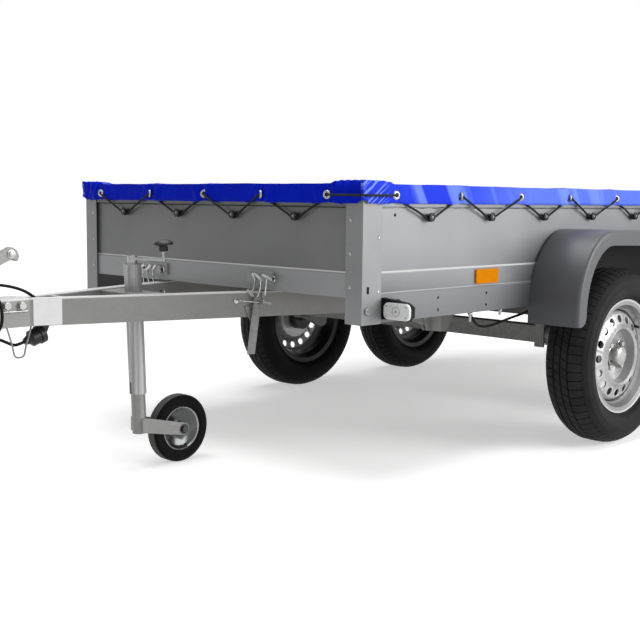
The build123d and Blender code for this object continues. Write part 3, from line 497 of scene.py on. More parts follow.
ply_finish = Finish("plywood", Coat_Weight=0.2)
ply_mesh = ply_finish.node(
    "TexVoronoi", {"distance": "MANHATTAN"}, {"Vector": ply_finish.place(), "Scale": 160.0},
)
ply_tone = ply_finish.grain(6, 4, 0.6, (1, 0.15, 1))
ply_finish.set(Base_Color=ply_finish.ramp(ply_tone, (0.3, (0.055, 0.03, 0.018)), (0.7, (0.10, 0.058, 0.034))))
ply_finish.set(Roughness=0.42 + ply_tone * 0.15)
ply_finish.bump(ply_mesh, 0.0003, 0.6)
plywood = ply_finish.material
print("rim paint with", len(rim_finish.tree.nodes), "nodes")

# %% Finishes on the frame's own pieces
slot_finishes = {
    "galvanised_sheet": sheet_steel, "galvanised_frame": frame_steel, "zinc_plate": plated_steel,
    "plywood": plywood, "guard_plastic": guard_plastic, "black_plastic": black_plastic,
    "black_rubber": black_rubber, "clear_lens": clear_lens, "amber_lens": amber_lens, "red_lens": red_lens,
    "tyre_rubber": tyre_rubber, "rim_silver": rim_silver,
}
node_slots = {row["node"]: row["material_slot"] for row in frame["record"]["subparts"]}
for name, node in nodes.items():
    node.data.materials.clear()
    node.data.materials.append(slot_finishes.get(node_slots[name], black_rubber))
print("finishes on", len(nodes), "nodes")

# %% [markdown]
# ## The lead first
# The trailer's lead leaves the plate between the arms, climbs on to the neck, lies round it in three and a
# half loose turns and ends in its plug underneath. A cord is a NURBS curve with a round bevel: its control
# points are the places that the lead bends around. The turns are points of the same curve, a dozen for each,
# and they differ a little in size because nothing ties them.

# %% Lead round the neck
lead_diameter = 0.008
lead_root = [
    (0.000, -1.400, 0.487), (0.000, -1.430, 0.487), (0.002, -1.461, 0.514), (0.002, -1.495, 0.531),
    (-0.004, -1.535, 0.541), (-0.0085, -1.572, 0.544), (-0.0090, -1.590, 0.5435), (-0.0062, -1.6001, 0.5430),
    (0.0001, -1.6088, 0.5415), (0.0089, -1.6152, 0.5380), (0.0191, -1.6185, 0.5330),
]
lead_tail = [
    (0.0260, -1.5745, 0.4135), (0.0165, -1.5650, 0.4085), (0.0115, -1.5520, 0.4035),
    (0.0090, -1.5370, 0.3970), (0.0080, -1.5220, 0.3895), (0.008, -1.5072, 0.3872), (0.008, -1.4885, 0.394),
]
turn_points, turns = 12, 3.5
lead_turns = []
for step in range(1, int(turns * turn_points)):
    angle = pi / 2 - step * 2 * pi / turn_points
    looseness = 1 + 0.045 * sin(step * 1.31) * sin(step * 0.47)
    lead_turns.append((
        0.073 * looseness * cos(angle),
        -1.6185 + 0.0116 * step / turn_points,
        0.474 + 0.058 * looseness * sin(angle),
    ))


def strand(name, route, radius, body, slot, finish=None, resolution=6, as_mesh=False):
    """A round cord along a NURBS curve with the route's points as its control points."""
    curve = bpy.data.curves.new(name, "CURVE")
    curve.dimensions = "3D"
    line = curve.splines.new("NURBS")
    line.points.add(len(route) - 1)
    for point, place in zip(line.points, route):
        point.co = (*place, 1)
    line.order_u = 3
    line.use_endpoint_u = True
    line.resolution_u = resolution
    curve.bevel_depth = radius
    curve.bevel_resolution = 3
    curve.use_fill_caps = True
    curve.materials.append(finish or slot_finishes[slot])
    cord = add_object(name, curve)
    if as_mesh:
        bpy.context.view_layer.update()
        solid = bpy.data.meshes.new_from_object(cord.evaluated_get(bpy.context.evaluated_depsgraph_get()))
        bpy.data.objects.remove(cord)
        cord = add_object(name, solid)
    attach(cord, body)
    return cord


lead_route = lead_root + lead_turns + lead_tail
lead = strand("lead", lead_route, lead_diameter / 2, "drawbar", "black_rubber")
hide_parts("lead_root", "lead_coil", "lead_end")
print("lead with", len(lead_turns), "points in its turns")

# %% [markdown]
# ## Rounded edges on bent and welded steel
# A real sheet never bends to a knife edge. The frame's solids have exact corners, so each steel piece is
# copied, its doubles are merged, and a Bevel modifier rounds what is sharper than forty degrees. Subdivision
# would swell the flat sides, and a bevel drawn in the shader would leave the outline sharp.

# %% Edges of the steel pieces
edge_widths = {
    "galvanised_sheet": (sheet_steel, 0.0016), "galvanised_frame": (frame_steel, 0.0022),
    "zinc_plate": (plated_steel, 0.0009),
}
arm_edge = 0.005
# The front panel and the latch catches take the front's painted shade and light, the side panels the painted
# shade low down, and the arms, cross bar and coupling head the painted top highlight.
special_finishes = {
    "side_panel_left": side_steel_painted_light, "side_panel_right": side_steel_painted_light, "front_panel": front_steel_painted_light,
    "axle_front": dark_steel, "axle_rear": dark_steel, "drawbar_arm_left": arm_steel_painted_highlight,
    "drawbar_arm_right": arm_steel_painted_highlight, "cross_bar": arm_steel_painted_highlight, "coupling_handle": dull_plate,
    "latch_lever": dull_plate, "jockey_rim": dish_plate, "latch_catches": front_steel_painted_light,
}
column_lean, tube_top = radians(2.4), 0.582
column_foot = Vector((0, -1.1212, 0))
column_way = Vector((0, -sin(column_lean), cos(column_lean)))
crank_turn = Matrix.Translation(column_foot) @ Matrix.Rotation(radians(8), 4, column_way)
crank_turn = crank_turn @ Matrix.Translation(-column_foot)
# The jockey tube takes the painted reflection streaks, and the coupling head the arms' painted top highlight.
own_edges = {"coupling_head": arm_steel_painted_highlight, "jockey_tube": tube_with_painted_reflections, "jockey_tyre": worn_finish.material}
for name in nodes:
    slot = node_slots[name]
    if slot not in edge_widths or name in own_edges or name == "tilt_latches":
        continue
    finish, width = edge_widths[slot]
    piece = soften(
        name, slot, special_finishes.get(name, finish), arm_edge if name.startswith("drawbar_arm") else width,
        bend=25 if slot == "galvanised_sheet" else 40,
    )
    if name == "jockey_crank":
        piece.data.transform(crank_turn)
for name, finish in own_edges.items():
    nodes[name].data.materials[0] = finish
for name, _, _ in wheels:
    soften(f"rim_{name}", "rim_silver", rim_silver, 0.0015, bend=30)
print("rounded edges on the steel")

# %% [markdown]
# ## Tyres
# A tyre's section is turned about the axle: bead, sidewall with its protecting rib, shoulder, and a crowned
# tread with three grooves. The section could be swept along a circle, but Spin gives even rings whose faces
# are easy to find again. Every third ring is drawn close to the next one, and the narrow faces between them
# are pressed in as the cross cuts of the blocks. A small twist makes the cuts of the middle ribs slant.

# %% Section of a road tyre
tyre_radius, widest_radius = 0.2795, 0.2295
flat_half, tyre_half = 0.015, 0.078
tread_half = 0.059
groove_centres = (-0.0285, -0.0040, 0.0205)
groove_half, groove_depth = 0.0024, 0.0065
pitches = 63
slot_share = (0.0, 0.45, 0.9)

sidewall = [
    (0.169, 0.0460), (0.178, 0.0490), (0.1835, 0.0520), (0.1850, 0.0560), (0.1885, 0.0575), (0.1900, 0.0620),
    (0.197, 0.0690), (0.206, 0.0740), (0.218, 0.0772), (0.2290, 0.0779), (0.2298, 0.0770), (0.240, 0.0758),
    (0.249, 0.0725), (0.2495, 0.0714), (0.257, 0.0672),
]


def crown_radius(x):
    """Radius of the tyre at a distance from its middle plane, above the widest ring."""
    share = max(0.0, abs(x) - flat_half) / (tyre_half - flat_half)
    return widest_radius + (tyre_radius - widest_radius) * (1 - share * share) ** 0.5


def tread_profile():
    """Tread from the outer shoulder to the inner one as (radius, width) points, with its grooves."""
    widths = [tread_half + 0.004, tread_half, 0.047, 0.035]
    points = [(crown_radius(x), x) for x in widths]
    for centre in sorted(groove_centres, reverse=True):
        top = crown_radius(centre)
        points += [(top, centre + groove_half), (top - groove_depth, centre + groove_half * 0.6)]
        points += [(top - groove_depth, centre - groove_half * 0.6), (top, centre - groove_half)]
    return points + [(crown_radius(x), -x) for x in reversed(widths[:-1])]


print("tyre section with", 2 * len(sidewall) + len(tread_profile()), "points")


# %% Road tyres
def tyre_mesh():
    """One tyre about the X axis at the origin, with +X outwards."""
    bm = bmesh.new()
    inner = [(r, -x) for r, x in reversed(sidewall)]
    profile = sidewall + tread_profile() + inner
    profile.append(profile[0])
    steps = pitches * len(slot_share)
    turned(bm, profile, facing((0, 0, 0), (1, 0, 0)), steps)
    tidy(bm)
    slant = 2.2
    for vert in bm.verts:
        index = round(atan2(vert.co.z, vert.co.y) / (2 * pi) * steps) % steps
        whole, part = divmod(index, len(slot_share))
        angle = 2 * pi * (whole + slot_share[part]) / pitches
        angle += slant * max(-0.03, min(0.022, vert.co.x))
        radius = hypot(vert.co.y, vert.co.z)
        vert.co = Vector((vert.co.x, radius * cos(angle), radius * sin(angle)))
    widest = 2 * pi / pitches * (1 - slot_share[-1]) * 1.4
    cuts = {"shoulder": [], "middle": []}
    for face in bm.faces:
        centre = face.calc_center_median()
        radius = hypot(centre.y, centre.z)
        outward = Vector((0, centre.y, centre.z)).normalized()
        level = [edge for edge in face.edges if abs(edge.verts[0].co.x - edge.verts[1].co.x) < 1e-6]
        spread = max(edge.calc_length() for edge in level)
        if spread > widest * radius or face.normal.dot(outward) < 0.35 or abs(centre.x) > tread_half + 0.003:
            continue
        if min(abs(centre.x - groove) for groove in groove_centres) < groove_half + 0.0005:
            continue
        middle = groove_centres[0] < centre.x < groove_centres[-1]
        cuts["middle" if middle else "shoulder"].append(face)
    for kind, thickness, depth in (("shoulder", 0.0004, 0.005), ("middle", 0.0009, 0.003)):
        bmesh.ops.inset_region(
            bm, faces=cuts[kind], thickness=thickness, depth=-depth, use_boundary=True, use_even_offset=True,
        )
    return bm


tyre_pattern = bpy.data.meshes.new("tyre_pattern")
tyre_bm = tyre_mesh()
tyre_bm.to_mesh(tyre_pattern)
tyre_bm.free()
for name, hub, sign in wheels:
    bm = bmesh.new()
    bm.from_mesh(tyre_pattern)
    outwards = Matrix.Rotation(0 if sign > 0 else pi, 3, "Z")
    bmesh.ops.rotate(bm, verts=bm.verts, cent=(0, 0, 0), matrix=outwards)
    bmesh.ops.translate(bm, verts=bm.verts, vec=hub)
    make_piece(
        f"road_tyre_{name}", bm, f"wheel_{name}", "tyre_rubber", instead=f"tyre_{name}", tidied=True,
    )
print("tyre with", len(tyre_pattern.polygons), "faces")

# %% [markdown]
# ## Wheel fastenings
# Four bolts hold the rim inside its recess, a pressed cap covers the hub's grease, and a valve stem comes
# through the disc. They are turned and six-sided forms, one piece for each wheel.

# %% Bolts, cap and valve
bolt_circle = 0.049


def hexagon(bm, place, direction, across, height):
    """A hexagon head that stands on a face."""
    made = bmesh.ops.create_cone(
        bm, cap_ends=True, segments=6, radius1=across * 0.5774, radius2=across * 0.5774, depth=height,
        matrix=facing(place, direction) @ Matrix.Translation((0, 0, height / 2)),
    )
    bevel(bm, list({edge for vert in made["verts"] for edge in vert.link_edges}), height * 0.12, 1)


washer = [(0.0125, 0), (0.0115, 0.004), (0.008, 0.006), (0, 0.006)]
grease_cap = [
    (0.036, 0), (0.036, 0.003), (0.033, 0.0045), (0.0325, 0.026), (0.029, 0.031), (0.018, 0.0345),
    (0, 0.0355),
]
valve_stem = [(0.0055, 0), (0.0055, 0.012), (0.004, 0.016), (0.004, 0.034), (0, 0.034)]
for name, hub, sign in wheels:
    fittings, valve = bmesh.new(), bmesh.new()
    out = Vector((sign, 0, 0))
    for quarter in range(4):
        angle = pi / 4 + quarter * pi / 2
        seat = hub + Vector((sign * 0.0158, bolt_circle * cos(angle), bolt_circle * sin(angle)))
        turned(fittings, washer, facing(seat, out), 20)
        hexagon(fittings, seat + out * 0.006, out, 0.017, 0.011)
    turned(fittings, grease_cap, facing(hub + out * 0.0178, out), 48)
    root = hub + Vector((sign * 0.0145, 0.112, 0.090))
    turned(valve, valve_stem, facing(root, (sign, -0.25, -0.2)), 16)
    make_piece(f"hub_fittings_{name}", fittings, f"wheel_{name}", "zinc_plate")
    make_piece(f"valve_{name}", valve, f"wheel_{name}", "black_rubber")
print("hub fittings on four wheels")

# %% [markdown]
# ## Rivets, bolts and latch fittings
# The posts are held by blind rivets and the neck by two hexagon bolts. The tilt latches are bought
# fittings: bent wire hooks and small levers, zinc-plated, on a plate with black screws. Each form is drawn
# from its two ends, because such fittings are bars, straps and wires that run from one hole to another.

# %% Small fastenings
arm_slope, arm_root, arm_bend_y = 0.33278, 0.240, -1.488
arm_out = Vector((1, -arm_slope, 0)).normalized()
arm_run = Vector((arm_slope, 1, 0)).normalized()


def arm_face(y, z, out=0.0):
    """A place on the outer face of the left arm."""
    x = arm_root + arm_slope * (y - front_y) if y > arm_bend_y else 0.040
    return Vector((x, y, z)) + (arm_out if y > arm_bend_y else Vector((1, 0, 0))) * out


def bar(bm, start, end, radius, steps=12):
    """A round bar between two places."""
    start, end = Vector(start), Vector(end)
    length, edge = (end - start).length, radius * 0.25
    profile = [(radius - edge, 0), (radius, edge), (radius, length - edge), (radius - edge, length)]
    turned(bm, [(0, 0), *profile, (0, length)], facing(start, end - start), steps)


def strap(bm, start, end, side, width, thickness):
    """A flat bar between two places, whose width lies along a side direction, with rounded ends."""
    start, end = Vector(start), Vector(end)
    run = (end - start).normalized()
    side = (Vector(side) - run * run.dot(Vector(side))).normalized()
    normal = run.cross(side)
    outline = []
    for centre, turn in ((end, 0), (start, pi)):
        for step in range(9):
            angle = turn - pi / 2 + pi * step / 8
            outline.append(centre + run * cos(angle) * width / 2 + side * sin(angle) * width / 2)
    raised_plate(bm, [place - normal * thickness / 2 for place in outline], normal * thickness)


def rivet(bm, place, direction, radius, height):
    """A domed rivet or a round bolt head."""
    profile = [(radius, 0), (radius * 0.97, height * 0.35), (radius * 0.75, height * 0.8), (0, height)]
    turned(bm, profile, facing(place, direction), 20)


rivets, bolts, hole_shade_discs = bmesh.new(), bmesh.new(), bmesh.new()
for sign in (-1, 1):
    side = Vector((sign, 0, 0))
    for end, way in ((front_y, -1), (rear_y, 1)):
        for z in (0.713, 0.627, 0.541):
            rivet(rivets, (sign * 0.582, end, z), (0, way, 0), 0.0052, 0.0022)
        for z in (0.668, 0.529):
            rivet(rivets, (sign * half_width, end - way * 0.062, z), side, 0.0050, 0.0022)
        rivet(hole_shade_discs, (sign * 0.6139, end - way * 0.136, 0.726), side, 0.0045, 0.0010)
        hexagon(bolts, Vector((sign * half_width, end - way * 0.019, 0.481)), side, 0.017, 0.007)
        slot_x, slot_y = sign * (half_width + 0.0004), end - way * 0.0225
        strap(hole_shade_discs, (slot_x, slot_y, 0.5290), (slot_x, slot_y, 0.5400), (0, 1, 0), 0.0085, 0.0008)
    for z in (0.501, 0.467):
        rivet(hole_shade_discs, (sign * 0.6219, front_y + 0.537, z), side, 0.0042, 0.0010)
    for y, low in ((0.475, 0.420), (0.621, 0.430)):
        place = Vector((sign * 0.612, front_y + y, 0.448))
        hexagon(bolts, place, (0, 0, -1), 0.013, 0.009)
        bar(bolts, place - Vector((0, 0, 0.008)), (place.x, place.y, low), 0.0040)
make_piece("post_rivets", rivets, "bed", "zinc_plate")
make_piece("post_bolts", bolts, "bed", "zinc_plate")
# Black domes and slots on the posts and sides are painted shade in their holes.
make_piece("post_hole_shades", hole_shade_discs, "bed", "black_rubber")
print("posts riveted and bolted")

# %% Tilt latches' toggles, rod and lever
rod_y, rod_z = -0.904, 0.479
toggles = (    # upper end, lower end and width of each strap
    ((0.242, -0.908, 0.557), (0.266, -0.904, 0.542), 0.0085),
    ((0.275, -0.907, 0.556), (0.304, -0.903, 0.546), 0.0075),
    ((0.209, -0.902, 0.508), (0.230, -0.905, 0.495), 0.0060),
    ((0.273, -0.903, 0.500), (0.280, -0.905, 0.486), 0.0060),
    ((0.226, -0.901, 0.556), (0.236, -0.903, 0.543), 0.0060),
    ((0.262, -0.902, 0.548), (0.262, -0.903, 0.530), 0.0050),
)
wires = (
    ((0.235, -0.903, 0.546), (0.235, -0.904, 0.520)), ((0.235, -0.904, 0.520), (0.224, -0.905, 0.500)),
    ((0.262, -0.904, 0.522), (0.247, -0.905, 0.487)), ((0.262, -0.904, 0.542), (0.262, -0.904, 0.522)),
    ((0.286, -0.903, 0.546), (0.280, -0.905, 0.500)),
)
plated, screws = bmesh.new(), bmesh.new()
for sign in (-1, 1):
    for x in (0.202, 0.298):
        rivet(screws, (sign * x, front_y - 0.005, 0.546), (0, -1, 0), 0.0058, 0.0045)
        rivet(plated, (sign * x, front_y - 0.0035, 0.546), (0, -1, 0), 0.0090, 0.0018)
    for top, low, width in toggles:
        strap(plated, (sign * top[0], *top[1:]), (sign * low[0], *low[1:]), (0, 0, 1), width, 0.0024)
    for top, low in wires:
        bar(plated, (sign * top[0], *top[1:]), (sign * low[0], *low[1:]), 0.0022)
    bar(plated, (sign * 0.176, rod_y, rod_z), (sign * 0.304, rod_y, rod_z + 0.001), 0.0028)
    rivet(screws, (sign * 0.230, front_y - 0.012, 0.470), (0, -1, 0), 0.0050, 0.0040)
    hook_top, hook_low = (sign * 0.211, front_y - 0.010, 0.468), (sign * 0.226, front_y - 0.010, 0.430)
    strap(screws, hook_top, hook_low, (1, 0, 0), 0.010, 0.003)
make_piece("latch_toggles", plated, "drawbar", "zinc_plate", bright_plate, instead="tilt_latches")
make_piece("latch_screws", screws, "drawbar", "black_plastic")
lever, rivets, bracket = bmesh.new(), bmesh.new(), bmesh.new()
for top, low in (((-0.923, 0.511), (-0.909, 0.494)), ((-0.880, 0.498), (-0.876, 0.478))):
    strap(lever, arm_face(*top, 0.005), arm_face(*low, 0.005), (0, 0, 1), 0.008, 0.0022)
bar(lever, arm_face(-0.953, 0.486, 0.0195), arm_face(-0.867, 0.475, 0.0195), 0.0019)
hexagon(lever, arm_face(-0.956, 0.483), arm_out, 0.013, 0.004)
for z, y in ((0.447, -0.006), (0.400, -0.012), (0.349, -0.018)):
    rivet(rivets, arm_face(rod_y + y, z, 0.0190), arm_out, 0.0026, 0.0010)
strap(bracket, arm_face(-0.924, 0.462, 0.0035), arm_face(-0.912, 0.434, 0.0035), arm_run, 0.014, 0.0030)
strap(bracket, arm_face(-0.912, 0.466, 0.0045), arm_face(-0.900, 0.466, 0.0045), (0, 0, 1), 0.012, 0.0030)
make_piece("lever_rivets", rivets, "drawbar", "zinc_plate", dull_plate)
make_piece("latch_linkage", lever, "drawbar", "zinc_plate", bright_plate)
make_piece("latch_bracket", bracket, "drawbar", "zinc_plate", dull_plate)
print("rivets, bolts and latch fittings")

# %% Coupling's bolts, bail and blank label
neck = bmesh.new()
for sign in (-1, 1):
    side = Vector((sign, 0, 0))
    for y, z in ((-1.513, 0.491), (-1.554, 0.493)):
        turned(neck, [(0.0125, 0), (0.0125, 0.0018), (0, 0.0018)], facing((sign * 0.043, y, z), side), 24)
        hexagon(neck, Vector((sign * 0.0448, y, z)), side, 0.019, 0.008)
    bar(neck, (sign * 0.0455, -1.676, 0.4795), (sign * 0.0455, -1.496, 0.4775), 0.0026)
    turned(
        neck, [(0.011, 0), (0.011, 0.002), (0.0075, 0.0022), (0.0075, 0.006), (0.004, 0.0066), (0, 0.0066)],
        facing((sign * 0.0142, -1.522, 0.620), side), 24,
    )
make_piece("coupling_bolts", neck, "drawbar", "zinc_plate")
strand(
    "parking_bail", [
        (0.036, -1.551, 0.438), (0.038, -1.547, 0.424), (0.040, -1.537, 0.385), (0.040, -1.534, 0.3655),
        (0.040, -1.525, 0.3600), (0.040, -1.514, 0.3600), (0.040, -1.505, 0.3655), (0.040, -1.502, 0.385),
        (0.038, -1.487, 0.424), (0.036, -1.483, 0.438)],
    0.0022, "drawbar", "zinc_plate", dark_steel, as_mesh=True,
)
label_finish = Finish("label_paper", Roughness=0.45, Specular_IOR_Level=0.3)
label_finish.set(Base_Color=label_finish.ramp(label_finish.grain(40, 3), (0.3, 0.84), (0.7, 0.90)))
label = bmesh.new()
label_corners = [(-1.4795, 0.4385), (-1.4105, 0.4385), (-1.4105, 0.5055), (-1.4795, 0.5055)]
raised_plate(label, [arm_face(*corner, 0.0001) for corner in label_corners], arm_out * 0.0005)
make_piece("blank_label", label, "drawbar", "zinc_plate", label_finish.material)
strand(
    "harness", [
        (0.600, -0.400, 0.449), (0.596, -0.384, 0.430), (0.592, -0.350, 0.402), (0.590, -0.303, 0.3945),
        (0.590, -0.243, 0.402), (0.590, -0.181, 0.413), (0.588, -0.096, 0.423), (0.588, -0.040, 0.438),
        (0.588, -0.020, 0.449)],
    0.0038, "bed", "black_rubber", as_mesh=True,
)
print("coupling's bolts and bail")

# %% [markdown]
# ## Jockey wheel, front lamps and wheel arches
# The jockey wheel's crank ends in a mushroom knob, its dish has a rolled lip, and a nut holds the axle. The
# front lamps are pressed glass over a round reflector. Behind each pair of wheels a black sheet on the side
# panel is painted shade in the wheel arch.

# %% Jockey wheel's knob, collar, lip and nuts
knob_foot = column_foot + column_way * (tube_top + 0.039) + Vector((0.122, 0, 0))
knob_profile = [
    (0.0045, 0), (0.0125, 0), (0.0128, 0.013), (0.0190, 0.0150), (0.0272, 0.0180), (0.0280, 0.0210),
    (0.0255, 0.0255), (0.0180, 0.0295), (0.0080, 0.0313), (0, 0.0315),
]
collar_profile = [(0.0225, 0.0002), (0.0262, 0.0002), (0.0266, 0.0012), (0.0262, 0.0024), (0.0150, 0.0024)]
lip_profile = [(0.0585, 0.0150), (0.0600, 0.0178), (0.0622, 0.0190), (0.0636, 0.0180), (0.0636, 0.0160)]
axle_washer = [(0.0150, 0), (0.0150, 0.0016), (0.008, 0.0016)]
mushroom, collar, lip, nut = [bmesh.new() for _ in range(4)]
turned(mushroom, knob_profile, facing(knob_foot, column_way), 40)
bmesh.ops.transform(mushroom, matrix=crank_turn, verts=mushroom.verts)
turned(collar, collar_profile, facing(column_foot + column_way * tube_top, column_way), 48)
for sign in (-1, 1):
    side = Vector((sign, 0, 0))
    turned(lip, lip_profile, facing(jockey_hub, side), 64)
    turned(nut, axle_washer, facing(jockey_hub + side * 0.0296, side), 32)
    hexagon(nut, jockey_hub + side * 0.0312, side, 0.019, 0.0075)
make_piece("crank_mushroom", mushroom, "jockey_column", "black_plastic", instead="crank_knob")
make_piece("jockey_collar", collar, "jockey_column", "zinc_plate")
make_piece("jockey_rim_lip", lip, "jockey_wheel", "zinc_plate")
make_piece("jockey_axle_nuts", nut, "jockey_caster", "zinc_plate", dish_plate)
print("jockey wheel dressed")


# %% Front lamps
def plate(bm, centre, wide, high, corner, depth):
    """A plate with rounded corners and softened edges, whose face looks forward."""
    outline = []
    for side, level, turn in ((1, -1, -pi / 2), (1, 1, 0), (-1, 1, pi / 2), (-1, -1, pi)):
        middle = Vector((side * (wide / 2 - corner), 0, level * (high / 2 - corner)))
        for step in range(7):
            angle = turn + pi / 2 * step / 6
            outline.append(Vector(centre) + middle + Vector((corner * cos(angle), 0, corner * sin(angle))))
    grown = raised_plate(bm, outline, (0, -depth, 0))
    bevel(bm, [item for item in grown if isinstance(item, bmesh.types.BMEdge)], 0.0028, 3)


lens_back = max(vert.co.y for vert in nodes["front_lamp_lenses"].data.vertices)
lens_depth = 0.0088
glass, fittings = bmesh.new(), bmesh.new()
for sign in (-1, 1):
    centre = Vector((sign * 0.6785, lens_back, 0.481))
    plate(glass, centre, 0.087, 0.044, 0.015, lens_depth)
    face = centre - Vector((0, lens_depth - 0.0001, 0))
    ring = [(0.0128, 0), (0.0126, 0.0007), (0.0116, 0.0007), (0.0114, 0)]
    turned(fittings, ring, facing(face, (0, -1, 0)), 32)
    rivet(fittings, face, (0, -1, 0), 0.0034, 0.0012)
    for x, z in ((-0.033, 0.013), (0.033, -0.013), (0.033, 0.013), (-0.033, -0.013)):
        rivet(fittings, face + Vector((x, 0, z)), (0, -1, 0), 0.0022, 0.0009)
make_piece("front_lamp_glass", glass, "bed", "clear_lens", instead="front_lamp_lenses")
make_piece("front_lamp_fittings", fittings, "bed", "zinc_plate", dull_plate)
print("front lamps glazed")

# %% Wheel arches, mudguards and rails
arch_half, arch_bend, arch_low = 0.649, 0.170, 0.449
# Black sheets inside the wheel arches are painted shade.
arch_shade_sheets = bmesh.new()
outline = [(tandem_y - arch_half, arch_low), (tandem_y + arch_half, arch_low)]
for end, turn in ((1, 0), (-1, pi / 2)):
    for step in range(13):
        angle = turn + pi / 2 * step / 12
        y = tandem_y + end * (arch_half - arch_bend) + arch_bend * cos(angle)
        outline.append((y, 0.431 + 0.2275 * max(sin(angle), 0.085)))
for sign in (-1, 1):
    raised_plate(arch_shade_sheets, [(sign * 0.6226, *corner) for corner in outline], (sign * 0.0014, 0, 0))
make_piece("arch_painted_shade", arch_shade_sheets, "bed", "black_plastic", black_rubber)


def at_guard_foot(vert):
    """Whether a vertex is at an outer corner of a mudguard's feet."""
    off_foot = max(abs(vert.co.z - 0.397), abs(abs(vert.co.y - tandem_y) - 0.626))
    return abs(vert.co.x) > 0.790 and off_foot < 0.002


for side in ("left", "right"):
    guard = merged_copy(f"mudguard_{side}")
    bevel(guard, [edge for edge in guard.edges if all(at_guard_foot(vert) for vert in edge.verts)], 0.030, 8)
    bmesh.ops.triangulate(guard, faces=[face for face in guard.faces if len(face.verts) > 4])
    make_piece(
        f"guard_{side}_rounded", guard, "bed", "guard_plastic", instead=f"mudguard_{side}",
        tidied=True,
    )
rail_z = 0.7450
rail_shadow_bar, rail_highlight_bars = bmesh.new(), bmesh.new()
# A black bar under the front rail is a painted shadow line.
bar(rail_shadow_bar, (-0.557, front_y - 0.0002, rail_z), (0.564, front_y - 0.0002, rail_z), 0.0012, 8)
# Bright bars along the sides' rails are painted highlights on their lower edges.
for x in (-0.6150, 0.6150):
    bar(rail_highlight_bars, (x, front_y + 0.062, rail_z - 0.001), (x, rear_y - 0.062, rail_z - 0.001), 0.0012, 8)
make_piece("front_rail_painted_shadow", rail_shadow_bar, "bed", "black_rubber")
make_piece("side_rail_painted_highlights", rail_highlight_bars, "bed", "zinc_plate", bright_plate)
print("arches, mudguards and rails dressed")

# %% [markdown]
# ## Tarpaulin
# The cover is coated polyester, cut flat and square and laced down over the rim of the tub, so its edge hangs
# as a narrow skirt that the cord pulls into small pleats. It could be dropped on the tub by a cloth
# simulation, but a sheet that is held by a cord every few inches hardly moves. It is a fine grid whose border
# is extruded down, and each vertex is then moved by the same few effects: the sag between the walls, packing
# creases, soft waves, and a pinch at every eyelet.

# %% Tarpaulin's finish
tarp_finish = Finish("tarp_pvc", Specular_IOR_Level=0.03)
threads = 0.0
for axis in "XYZ":
    threads = threads + tarp_finish.bars(axis, 78.0)
scuffs = tarp_finish.grain(7, 5, 0.6)
fine = tarp_finish.grain(160, 3)
tarp_y, tarp_z = tarp_finish.along(1), tarp_finish.along(2)


def painted_sheen_noise(slope, scale):
    """Noise that runs along the sides in bands that lean by a slope, for the painted sheen."""
    return tarp_finish.node(
        "TexNoise", {"noise_dimensions": "1D"},
        {"W": tarp_y + (tarp_z - 0.78) * slope, "Scale": scale, "Detail": 2.0, "Roughness": 0.5},
    )


# The sides are paler than the front and top as painted light, paler still towards the rear, with painted
# sheen in leaning bands and painted highlights in the gathers near the front corner.
on_side = tarp_finish.step(abs(tarp_finish.along(0)), 0.6225, 0.6245)
painted_light_rearwards = tarp_finish.step(tarp_y, -0.52, -0.16)
side_blue_painted_light_ramp = tarp_finish.blend(painted_light_rearwards, (0.020, 0.050, 0.74), (0.115, 0.195, 0.93))
folded = tarp_finish.step(painted_sheen_noise(0.6, 7.0), 0.53, 0.60)
painted_corner_streaks = tarp_finish.step(painted_sheen_noise(-1.4, 75.0), 0.52, 0.60) * tarp_finish.step(tarp_y, -0.790, -0.830)
side_blue_painted_light = tarp_finish.blend(folded * 0.75, side_blue_painted_light_ramp, (0.20, 0.31, 0.96))
side_blue_painted_light = tarp_finish.blend(painted_corner_streaks * 0.7, side_blue_painted_light, (0.30, 0.42, 0.97))
deep_blue = tarp_finish.blend(scuffs, (0.001, 0.012, 0.50), (0.003, 0.020, 0.66))
tarp_finish.set(Base_Color=tarp_finish.blend(on_side, deep_blue, side_blue_painted_light), Roughness=0.34 + scuffs * 0.12)
tarp_finish.bump(scuffs * 0.5 + fine * 0.2 + threads * 0.05, 0.0010, 0.5)
tarp_pvc = tarp_finish.material
print("tarpaulin's finish with", len(tarp_finish.tree.nodes), "nodes")

# %% Where the eyelets and hooks are
eyelet_z, hook_z, hem_z, top_z = 0.777, 0.720, 0.7555, 0.8062
skirt_out = 0.0034
skirt_face, skirt_front, skirt_rear = half_width + skirt_out, front_y - skirt_out, rear_y + skirt_out
front_eyelets = [-0.525, -0.264, 0.002, 0.245, 0.505]
side_eyelets = [front_y + y for y in (0.117, 0.401, 0.681, 0.960, 1.238, 1.497, 1.756, 2.015, 2.274, 2.533)]
front_hooks = [-0.403, -0.129, 0.124, 0.378]
side_hooks = [front_y + 0.269 + 0.2765 * row for row in range(9)]
side_sheet, end_sheet = 0.614 - skirt_face, -0.011 - skirt_out    # the walls' sheet, out from the skirt
knob_neck = 0.0088        # middle of a knob's neck, out from the sheet that it stands on


class Wall:
    """A wall of the tub: where its skirt begins, the way along it, the way out, and what is on it."""

    def __init__(self, start, along, out, eyelets, hooks, sheet_out, first_tilt):
        self.start, self.along, self.out = Vector(start), Vector(along), Vector(out)
        self.eyelets, self.hooks, self.sheet_out = eyelets, hooks, sheet_out
        self.tilts = [(place, first_tilt * (-1) ** index) for index, place in enumerate(eyelets)]

    def at(self, distance, z, out):
        """A place at a distance along the wall, at a height, and so far out from its skirt."""
        place = self.start + self.along * distance + self.out * out
        return (place.x, place.y, z)


